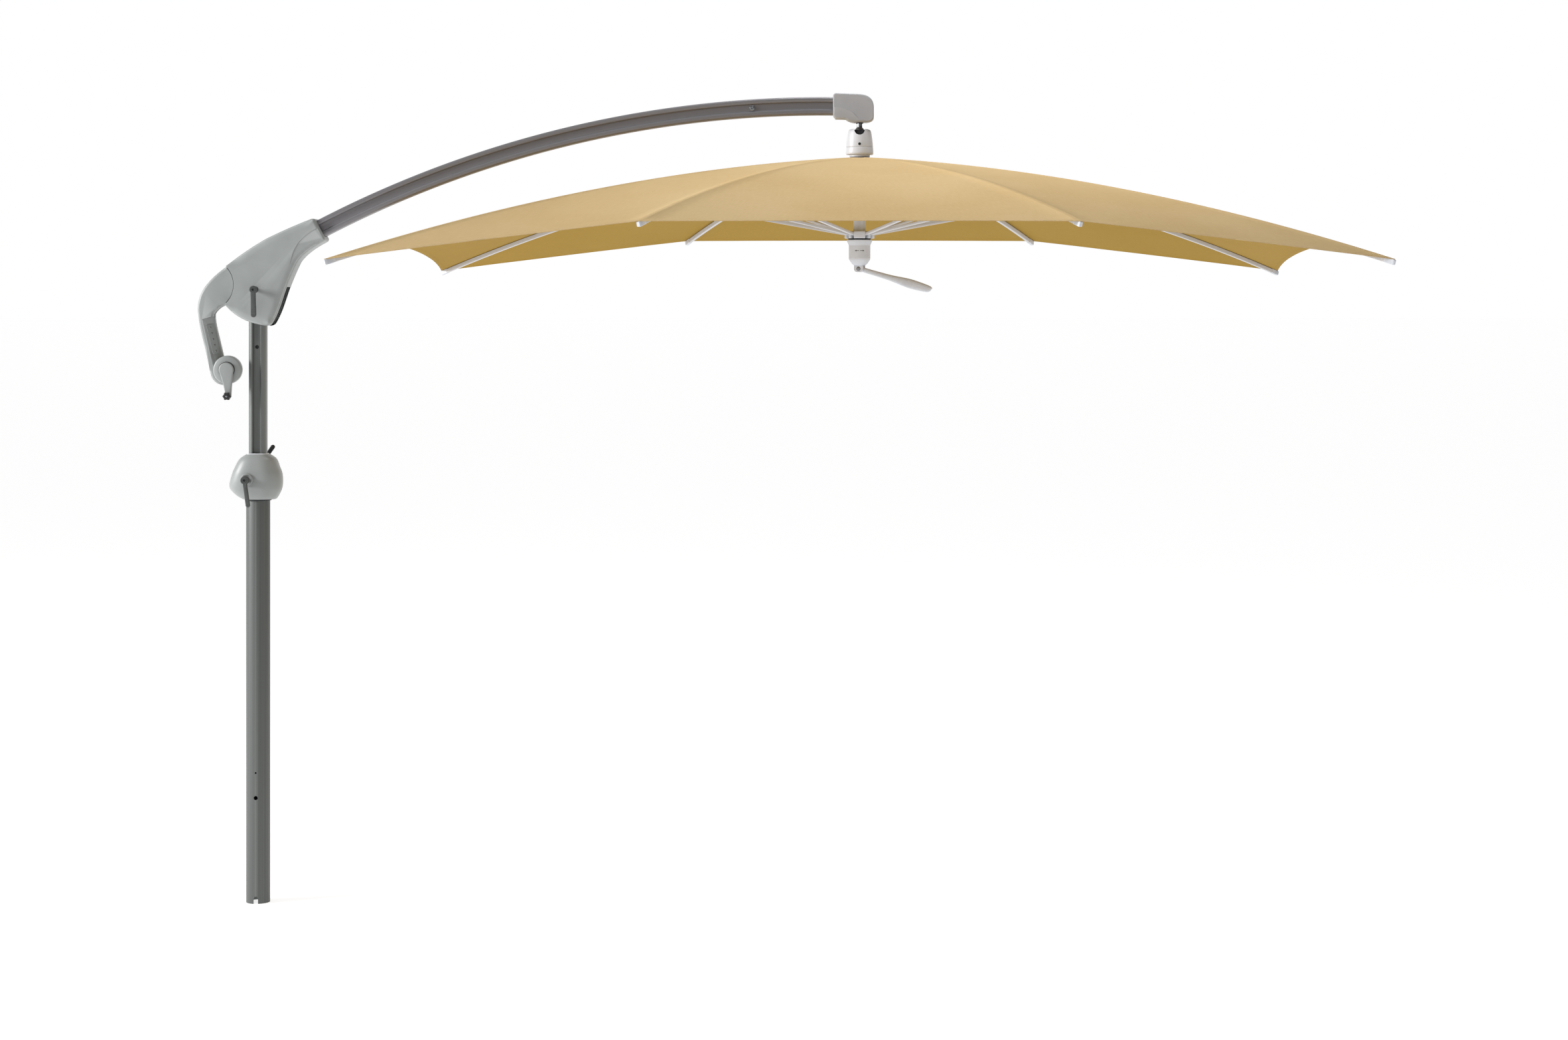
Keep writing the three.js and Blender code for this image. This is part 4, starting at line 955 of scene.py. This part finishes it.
def make_crank():
    end = Vector((KNOB.x, KNOB.z))
    shape = Outline(CRANK.x + 25.8, CRANK.z - 9.4).arc((CRANK.x, CRANK.z), 27.5, -0.35, pi + 0.2, 48)
    shape.curve((end.x - 16, end.y + 46), (end.x - 11, end.y), 16).arc(end, 11, pi, 2 * pi, 20)
    shape.curve((end.x + 13, end.y + 46), (CRANK.x + 25.8, CRANK.z - 9.4), 16)
    handle = slab(shape.closed(), -74, -61, 4.5, 6)
    join(handle, rod(6, CRANK, -62, 20, "Y", 0.5))
    cut(handle, rod(4.4, KNOB, -80, -50, "Y", 0, 32))
    piece("crank_handle_casting", handle, "casting", "crank", "crank_handle")
    seal = band(7, 30, -60.9, -60.1, CRANK, "Y", 96)
    piece("crank_seal", seal, "black", "crank")
    _, handle_high = node_box("crank_handle")
    gear = rod(8, CRANK, -8, min(handle_high.y, 8), "Y", 1)
    piece("crank_pinion", gear, "bronze", "crank")

    lobes, around = 6, 72
    rings = []
    # Depth, share of the full radius and share of the lobes' height, from the outer face inwards.
    levels = [(-104, 0.72, 0.4), (-102.8, 0.88, 0.7), (-100, 0.98, 1), (-92, 1.0, 1.1),
              (-84, 0.95, 1.1), (-78, 0.9, 1), (-75.4, 0.84, 0.8), (-74.5, 0.7, 0.5)]
    for y, size, depth in levels:
        ring = []
        for i in range(around):
            angle = 2 * pi * i / around
            radius = size * (13.9 + 1.5 * depth * cos(lobes * angle))
            ring.append((end.x + radius * cos(angle), y, end.y + radius * sin(angle)))
        rings.append(ring)
    knob = loft(rings, 50)
    cut(knob, rod(5.5, KNOB, -106, -102.6, "Y", 0))
    piece("crank_grip", knob, "black", "crank_grip", "crank_knob")
    piece("knob_spindle", rod(4, KNOB, -103.4, -58, "Y", 0.5), "steel", "crank_grip")


# ---------------------------------------------------------------- boom and ball joint


def make_boom():
    section = grooved_section(BOOM["width"], BOOM["height"], 8, 30, 8)
    boom = along_boom(section, 150, 2148, 96)
    piece("boom_profile", boom, "boom", "head", "boom")
    bolt_x = 1841
    centre = next(boom_frames(bolt_x, bolt_x + 1, 1))[0]
    bolt = bolt_head((centre.x, centre.z), 9, -27.4, -19.5)
    piece("boom_bolt", bolt, "steel", "head")


def make_end_cap():
    shape = Outline(2141.7, 2926).line(2141, 2997).curve((2142, 3009), (2152, 3010), 6).line(2240, 3006.5)
    shape.curve((2293, 3003), (2293, 2956), 18).line(2293, 2922).curve((2292, 2905), (2264, 2903), 8)
    shape.line(2222, 2901.8).curve((2200, 2904), (2188, 2914.6), 6).line(2150, 2915.6)
    cap = slab(shape.closed(), -42, 42, 7, 6)
    swoosh = Outline(2120, 3030).line(2120, 2960).line(2160, 2957).curve((2206, 2950), (2226, 2925), 14)
    swoosh.curve((2244, 2905), (2300, 2902), 10).line(2320, 2930).line(2320, 3030)
    tools = [slab(swoosh.closed(), side * 50, side * 40.8, 0.01) for side in (-1, 1)]
    pocket = along_boom(rectangle(-29, 29, -34, 34, 6), 2100, 2152, 3)
    cut(cap, *tools, pocket, rod(10.3, POLE_LINE, 2890, 2920))
    piece("end_cap_casting", cap, "end_cap", "head", "boom_end_cap")


def make_ball_joint():
    low, _ = node_box("ball_stud")
    radius, stem = BALL.z - low.z, 10
    contact = acos(stem / radius)
    steps = 30
    arc = [(radius * cos(a), BALL.z + radius * sin(a), 0)
           for a in (-pi / 2 + (contact - 0.08 + pi / 2) * k / steps for k in range(1, steps + 1))]
    stud = turned([(0, low.z, 0), *arc, (stem, BALL.z + radius * 0.98, 1.5), (stem, 2926, 0), (0, 2926, 0)],
                  POLE_LINE)
    piece("ball_and_stem", stud, "steel", "head", "ball_stud")
    collar = band(10.2, 13.5, 2898.5, 2901.5, POLE_LINE, edges=(0.4, 1.0, 0.3, 0.3))
    piece("stem_seal", collar, "black", "head")

    low, high = node_box("bell_housing")
    bottom, top = low.z, high.z
    profile = [(0, bottom, 0), (50, bottom, 1.6), (49, bottom + 18, 30), (46.5, 2848, 20),
               (43.5, 2866, 20), (41, top - 3, 8), (35, top, 3), (0, top, 0)]
    bell = turned(profile, POLE_LINE, segments=128)
    slot_half, slot_z = 19, 2874
    slot = Outline(AXIS_X - slot_half, top + 5).line(AXIS_X - slot_half, slot_z)
    slot.arc((AXIS_X, slot_z), slot_half, pi, 2 * pi, 32).line(AXIS_X + slot_half, top + 5)
    cut(bell, sphere(27, BALL), rod(20, POLE_LINE, BALL.z, top + 1, "Z", 0),
        slab(slot.closed(), -60, 0, 0.01), rod(44, POLE_LINE, bottom - 1, 2835, "Z", 0))
    piece("bell_casting", bell, "bell", "bell", "bell_housing")
    plug = turned([(0, -50.6, 0), (5.2, -50.6, 0.8), (5.2, -46, 0), (0, -46, 0)], (AXIS_X, 0, 2821), "Y", 40)
    piece("bell_pin_plug", plug, "black", "bell")
    ring = band(40, 49.2, bottom - 0.4, bottom - 0.1, POLE_LINE, segments=96)
    piece("bell_glide_ring", ring, "black", "bell")


# ---------------------------------------------------------------- canopy frame

POLE_RADIUS = 23


def make_collar_and_pole():
    low, high = node_box("canopy_collar")
    bore = POLE_RADIUS + 0.3
    collar = turned([(bore, low.z, 0.3), (38, low.z, 1), (38, low.z + 9, 2), (49.8, low.z + 9, 1.2),
                     (51.5, low.z + 14, 2), (50.2, high.z, 1.4), (bore, high.z, 0.3)],
                    POLE_LINE, segments=128, bored=True)
    piece("collar_ring", collar, "bell", "canopy_post", "canopy_collar")
    low, high = node_box("canopy_pole")
    inner = POLE_RADIUS - 3
    pole = band(inner, POLE_RADIUS, low.z, high.z, POLE_LINE, segments=96, edges=(0.5, 0.8, 0.8, 0.5))
    piece("pole_tube", pole, "pole", "canopy_post", "canopy_pole")


def rib_tips():
    """Plan of the rib tips about the pole, anticlockwise from the end away from the mast."""
    inner = 0.414 * HALF_LENGTH
    places = [
        (HALF_LENGTH, 0, "middle"), (HALF_LENGTH, HALF_WIDTH, "corner"), (inner, HALF_WIDTH, "inner"),
        (-inner, HALF_WIDTH, "inner"), (-HALF_LENGTH, HALF_WIDTH, "corner"),
    ]
    places += [(-x, -y, kind) for x, y, kind in places]
    return [{"x": x, "y": y, "kind": kind, "azimuth": atan2(y, x), "reach": hypot(x, y)}
            for x, y, kind in places]


RIBS = rib_tips()
APEX = 2774
CURVATURE = {"middle": 0.0657e-3, "corner": 0.0539e-3, "inner": 0.0806e-3}


def crease(rib, r):
    """Height of the fabric along a rib, at a distance from the pole's line."""
    return APEX - 0.068 * r - CURVATURE[rib["kind"]] * r * r


def out_from_pole(rib, r, side, z):
    """A point at a distance along a rib's direction and to its left."""
    c, s = cos(rib["azimuth"]), sin(rib["azimuth"])
    return Vector((AXIS_X + r * c - side * s, r * s + side * c, z))


def to_rib(rib, obj):
    """Stand a solid, drawn in the XZ plane from the pole's line, along a rib."""
    return moved(obj, Matrix.Translation(POLE_LINE) @ Matrix.Rotation(rib["azimuth"], 4, "Z"))


def slotted_hub(node, bore):
    low, high = node_box(node)
    radius, root, half = 56, 33, 6.5
    hub = band(bore, radius, low.z, high.z, POLE_LINE, segments=120, edges=(0.5, 2.5, 2.5, 0.5))
    slots = []
    for rib in RIBS:
        plan = [(root, -half), (root + 40, -half), (root + 40, half), (root, half)]
        corners = [out_from_pole(rib, r, side, 0) for r, side in plan]
        slots.append(loft([[(p.x, p.y, z) for p in corners] for z in (low.z - 1, high.z + 1)]))
    return cut(hub, *slots)


def bar_across(rib, r, z, radius, half, segments=24):
    """A pin across a rib's direction."""
    pin = rod(radius, (0, 0, 0), -half, half, "Y", 0.5, segments)
    place = out_from_pole(rib, r, 0, z)
    return moved(pin, Matrix.Translation(place) @ Matrix.Rotation(rib["azimuth"], 4, "Z"))


def as_one(objects):
    """Several solids as one object, without cutting them into each other."""
    build = bmesh.new()
    for obj in objects:
        build.from_mesh(obj.data)
    mesh = bpy.data.meshes.new("group")
    build.to_mesh(mesh)
    build.free()
    for obj in objects:
        bpy.data.objects.remove(obj)
    return soften(linked("group", mesh))


LUG_R = hypot(*(joint_point("strut_fold_01") - POLE_LINE).xy)
LUG_Z = joint_point("strut_fold_01").z
RUNNER_Z = joint_point("runner_hinge").z
PIVOT_R = joint_point("rib_fold_01").x - AXIS_X


def make_hubs():
    hubs = (("crown", "canopy_post", "rib_fold_01", 0.3), ("runner", "runner", "runner_hinge", 1.5))
    for name, body, joint, play in hubs:
        hub = slotted_hub(f"{name}_hub", POLE_RADIUS + play)
        piece(f"{name}_hub_slotted", hub, "fitting", body, f"{name}_hub")
        pin_z = joint_point(joint).z
        pins = as_one([bar_across(rib, PIVOT_R, pin_z, 2.4, 8.5, 16) for rib in RIBS])
        piece(f"{name}_pins", pins, "steel", body)
    low, _ = node_box("runner_hub")
    gasket = band(27, 42, low.z - 4.6, low.z - 0.2, POLE_LINE, segments=96, edges=(0.4, 1, 0.4, 0.4))
    piece("runner_gasket", gasket, "black", "runner")


def swept_bar(section, frames):
    """A section of (side, up) points through (centre, side, up, distance) frames."""
    rings = [[centre + side * p.x + up * p.y for p in section] for centre, side, up, _ in frames]
    bar = loft(rings)
    store(bar, "grain", [(p.x * MM, p.y * MM, distance * MM) for *_, distance in frames for p in section])
    return bar


def rib_frames(rib, start, end, steps, below=12):
    side = out_from_pole(rib, 0, 1, 0) - POLE_LINE
    for i in range(steps + 1):
        r = start + (end - start) * i / steps
        slope = -0.068 - 2 * CURVATURE[rib["kind"]] * r
        ahead = (out_from_pole(rib, 1, 0, slope) - POLE_LINE).normalized()
        up = ahead.cross(side).normalized()
        yield out_from_pole(rib, r, 0, crease(rib, r) - below), side, up, r


def make_rib(number, rib):
    name = f"rib_{number:02d}"
    end = rib["reach"] - 12
    bar = swept_bar(rectangle(-6, 6, -8, 8, 1.6, 3), list(rib_frames(rib, 40, end, 40)))
    piece(name + "_bar", bar, "rib", name, name)

    lug_half = 2.5
    top = crease(rib, LUG_R) - 12 - 6
    lug = Outline(LUG_R - 13, top).line(LUG_R - 8, LUG_Z).arc((LUG_R, LUG_Z), 8, pi, 2 * pi, 20)
    lug.line(LUG_R + 13, top)
    plate = slab(lug.closed(), -lug_half, lug_half, 0.6, 2)
    over_lug = list(rib_frames(rib, LUG_R - 26, LUG_R + 26, 4))
    saddle = swept_bar(rectangle(-7.4, 7.4, -9.4, 3, 1.8, 3), over_lug)
    to_rib(rib, plate)
    piece(name + "_lug", as_one([plate, saddle]), "fitting", name)
    piece(name + "_pin", bar_across(rib, LUG_R, LUG_Z, 3, 8.2), "steel", name)

    cap_section = rectangle(-7.2, 7.2, -8.8, 9.6, 2.6, 4)
    cap = swept_bar(cap_section, list(rib_frames(rib, end - 26, rib["reach"] - 6, 6)))
    nose = list(rib_frames(rib, rib["reach"] - 6.2, rib["reach"] - 2, 2))
    tip = loft([[c + s * p.x * k + u * p.y * k for p in cap_section]
                for (c, s, u, _), k in zip(nose, (1, 0.94, 0.8))])
    piece(name + "_cap", as_one([cap, tip]), "fitting", name)


def make_strut(number, rib):
    name = f"strut_{number:02d}"
    start, end = Vector((PIVOT_R, 0, RUNNER_Z)), Vector((LUG_R, 0, LUG_Z))
    ahead = (end - start).normalized()
    up = Vector((-ahead.z, 0, ahead.x))
    length = (end - start).length
    side = Vector((0, 1, 0))
    frames = [(start + ahead * d, side, up, d) for d in (-6, 0, length / 2, length - 22, length - 4)]
    bar = swept_bar(rectangle(-6, 6, -5, 5, 1.5, 3), frames)
    fork = []
    for sign in (-1, 1):
        cheek = Outline(length - 26, -5.6).line(length, -5.6)
        cheek.arc((length, 0), 5.6, -pi / 2, pi / 2, 16).line(length - 26, 5.6)
        y0, y1 = sorted((sign * 2.9, sign * 7.2))
        fork.append(slab(cheek.closed(), y0, y1, 0.8, 3))
    slope = atan2(ahead.z, ahead.x)
    for cheek in fork:
        moved(cheek, Matrix.Translation(start) @ Matrix.Rotation(-slope, 4, "Y"))
    for part in (bar, *fork):
        to_rib(rib, part)
    piece(name + "_bar", bar, "rib", name, name)
    piece(name + "_fork", as_one(fork), "fitting", name)


# ---------------------------------------------------------------- lever housing and paddle


def make_arrow(direction, radius, z):
    """A plain raised arrow wrapped on the housing, pointing to one side."""
    flat = [(2, -1), (12, -1), (12, -3.4), (18, 0), (12, 3.4), (12, 1), (2, 1)]
    rings = []
    for r in (radius - 0.6, radius + 0.35):
        rings.append([(AXIS_X + r * sin(direction * s / radius), -r * cos(s / radius), z + h)
                      for s, h in flat])
    return loft(rings)


def lever_azimuth():
    """The direction the opening lever points in, seen from above."""
    axis = JOINT["lever_fold"]["axis"]
    return atan2(-axis[0], axis[1])


def make_lever_housing():
    hinge = joint_point("lever_fold")
    spin = turn(degrees(lever_azimuth()), "Z", POLE_LINE)
    profile = [(0, 2371, 0), (22, 2371, 2), (28, 2376, 4), (38, 2390, 4), (40, 2396, 3), (40, 2445, 3),
               (46.6, 2460, 1), (47, 2465, 0.6), (18, 2465, 0.5), (17, 2500, 1), (14, 2506, 1), (0, 2506, 0)]
    body = turned(profile, POLE_LINE, segments=128)
    cheeks = []
    for sign in (-1, 1):
        left, right = AXIS_X - 18, AXIS_X + 18
        shape = Outline(left, 2382).line(left, 2358).curve((left + 1, 2346), (left + 13, 2345.2))
        shape.line(right - 13, 2345.2).curve((right - 1, 2346), (right, 2358)).line(right, 2382)
        cheeks.append(moved(slab(shape.closed(), *sorted((sign * 7.5, sign * 14)), edge=1.6), spin))
    join(body, *cheeks)
    piece("lever_housing_body", body, "fitting", "lock", "lever_housing")
    pin = rod(6.6, hinge, -14.8, 14.8, "Y", 0.8)
    slot = block((AXIS_X - 6, AXIS_X + 6), (-17, -13.8), (hinge.z - 0.9, hinge.z + 0.9))
    piece("lever_pin", moved(cut(pin, slot), spin), "steel", "lock")
    ring = band(6.8, 7.9, -14.15, -13.9, hinge, "Y", 48)
    piece("lever_pin_shadow_gap", moved(ring, spin), "black", "lock")
    arrows = as_one([make_arrow(direction, 40, 2425) for direction in (-1, 1)])
    piece("lock_arrows", arrows, "lever", "lock")


def make_paddle():
    hinge = joint_point("lever_fold")
    droop, length = radians(16), 292
    # Distance from the hinge, half thickness and half height of the blade, which stands on edge.
    levels = [(4, 6.6, 8.6), (20, 6.8, 8.9), (45, 7, 9.2), (80, 7.4, 9.8), (120, 7.9, 10.8),
              (150, 8.3, 13), (180, 8.4, 15.8), (207, 8.4, 17.2), (235, 7.9, 16.4), (262, 7.2, 14.6),
              (280, 6, 12), (length, 3.5, 7)]
    rings, around = [], 40
    for x, thickness, height in smooth_levels(levels, 4):
        ring = []
        for i in range(around):
            angle = 2 * pi * i / around
            c, s = cos(angle), sin(angle)
            side, up = thickness * c, height * copysign(abs(s) ** 0.8, s)
            lean = 0.45 * up * max(0.0, (x - 250) / (length - 250))
            blunt = 3.5 * max(0.0, (x - 284) / 8)
            ring.append((x + lean - blunt, side, up))
        rings.append(ring)
    grip = loft(rings, 50)
    eye = rod(10, (0, 0, 0), -7, 7, "Y", 1.2)
    join(grip, eye)
    place = Matrix.Translation(hinge) @ Matrix.Rotation(lever_azimuth(), 4, "Z")
    place @= Matrix.Rotation(droop, 4, "Y")
    piece("opening_paddle", moved(grip, place), "fitting", "paddle", "opening_lever")


# ---------------------------------------------------------------- canopy fabric

CANOPY_HOLE = 45
HEM = 24  # depth of the doubled hem
SEAM = 12  # half width of the tape along a rib
TIP_GAP = 1  # the fabric stops this far short of the frame's corner
SCALLOP = {"side": 0.02, "front": 0.006}
CLOTH = 0.9
ROWS, COLUMNS = 44, 12


def panel_point(own, other, share, t):
    """A point of the panel between two ribs: share runs from 0 at the own rib to 0.5 at mid-panel."""
    here, there = (out_from_pole(rib, r, 0, crease(rib, r)) for rib, r in (
        (rib, CANOPY_HOLE + (rib["reach"] - TIP_GAP - CANOPY_HOLE) * t) for rib in (own, other)))
    point = here.lerp(there, share)
    width = (here - there).length
    sag = 0.016 * width * 4 * share * (1 - share) * sin(pi * min(t, 1)) ** 0.8
    ripple = noise.noise(Vector((point.x / 160, point.y / 160, 0))) * 1.6
    ripple *= min(1, 8 * share) * min(1, 6 * (1 - t) + 0.25)
    return point + Vector((0, 0, ripple - sag)), width


def sector_rows(own, other):
    """For each row from the hub to the hem, and each column from rib to mid-panel: point and weave."""
    front = abs(own["x"] - other["x"]) > 1 and own["y"] == other["y"]
    scallop = SCALLOP["front" if front else "side"]
    reach = own["reach"] - TIP_GAP
    hem_start = 1 - HEM / reach
    steps = [hem_start * k / (ROWS - 2) for k in range(ROWS - 1)] + [hem_start + 2 / reach, 1]
    rows = []
    for step in steps:
        _, width = panel_point(own, other, 0, step)
        taped = min(SEAM / width, 0.3)
        shares = [0, taped * 0.5, taped, taped + 1.2 / width]
        shares += [shares[-1] + (0.5 - shares[-1]) * k / (COLUMNS - 3) for k in range(1, COLUMNS - 2)]
        row = []
        for share in shares:
            hem = 1 - scallop * 4 * share * (1 - share)
            point, width = panel_point(own, other, share, step * hem)
            inward = (1 - step) * reach
            raised = 0.5 if share <= taped + 1e-9 or inward < HEM - 1.5 else 0.0
            row.append((point, (share * width, step * hem * reach, inward), raised))
        rows.append(row)
    return rows


def make_sector(number, rib):
    """The fabric that belongs to one rib: half of the panel on each side of its crease."""
    left, right = RIBS[number % len(RIBS)], RIBS[number - 2]
    halves = [sector_rows(rib, right), sector_rows(rib, left)]
    grid = []
    for first, second in zip(*halves):
        mirrored = [(p, (-w[0], w[1], w[2]), raised) for p, w, raised in reversed(first[1:])]
        grid.append(mirrored + second)
    across, count = len(grid[0]), len(grid) * len(grid[0])
    points, weave = [], []
    for lower in (False, True):
        for row in grid:
            for point, threads, raised in row:
                lift = -CLOTH - raised if lower else raised
                points.append(point + Vector((0, 0, lift)))
                weave.append([value * MM for value in threads])
    faces = []
    for j in range(len(grid) - 1):
        for i in range(across - 1):
            a = j * across + i
            faces.append((a, a + 1, a + across + 1, a + across))
            faces.append(tuple(reversed([count + v for v in faces[-1]])))
    upper_faces = len(faces)
    rim = [(j * across, (j + 1) * across) for j in range(len(grid) - 1)]
    rim += [((j + 1) * across - 1, (j + 2) * across - 1) for j in range(len(grid) - 1)]
    rim += [(i, i + 1) for i in range(across - 1)]
    rim += [(count - across + i, count - across + i + 1) for i in range(across - 1)]
    faces += [(a, b, count + b, count + a) for a, b in rim]
    sheet = solid(points, faces, 60)
    store(sheet, "weave", weave)
    name = f"canopy_{number:02d}"
    piece(name + "_fabric", sheet, "fabric", f"rib_{number:02d}", name)
    # Faces that look down get the darker underside colour, which is painted shade and painted light through
    # the cloth
    sheet.data.materials.append(MATERIAL["painted_shade_underside"])
    for polygon in sheet.data.polygons[:upper_faces]:
        if polygon.normal.z < 0:
            polygon.material_index = 1
    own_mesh(sheet)


# ---------------------------------------------------------------- hidden CAD parts that stay

STAYING = {
    "slide_bush": "black", "mast_head_block": "block", "worm_sector": "bronze", "drive_shaft": "steel",
    "ball_seat": "black",
}


def finish_staying_nodes():
    for node, look in STAYING.items():
        obj = frame["nodes"][node]
        obj.data.materials.clear()
        obj.data.materials.append(MATERIAL[look])
        weld = obj.modifiers.new("weld", "WELD")
        weld.merge_threshold = 1e-5
        bevel = obj.modifiers.new("bevel", "BEVEL")
        bevel.width, bevel.segments, bevel.limit_method = 0.0006, 2, "ANGLE"
        bevel.angle_limit = radians(35)


# ---------------------------------------------------------------- assembly

make_studio()
MATERIAL = make_materials()
make_lower_mast()
make_upper_mast()
make_joint_housing()
make_clamp_lever("slide_lever_grip", "slide_lever_turn", "slide_clamp_lever", "lever",
                 stem=-50, boss=(-88, -114), radius=15, tip=(-14, 1476), tip_half=8)
make_clamp_lever("turn_lever_grip", "turn_lever_turn", "turn_clamp_lever", "black",
                 stem=50, boss=(84, 108), radius=14, tip=(38, 1696), tip_half=8)
make_clamp_lever("tilt_lever_grip", "tilt_lever_turn", "tilt_clamp_lever", "lever",
                 stem=-52.3, boss=(-74, -95), radius=13.8, tip=(2, 2177), tip_half=10)
make_head()
make_arm()
make_gear_housing()
make_crank()
make_boom()
make_end_cap()
make_ball_joint()
make_collar_and_pole()
make_hubs()
make_lever_housing()
make_paddle()
for number, rib in enumerate(RIBS, 1):
    make_rib(number, rib)
    make_strut(number, rib)
    make_sector(number, rib)
finish_staying_nodes()
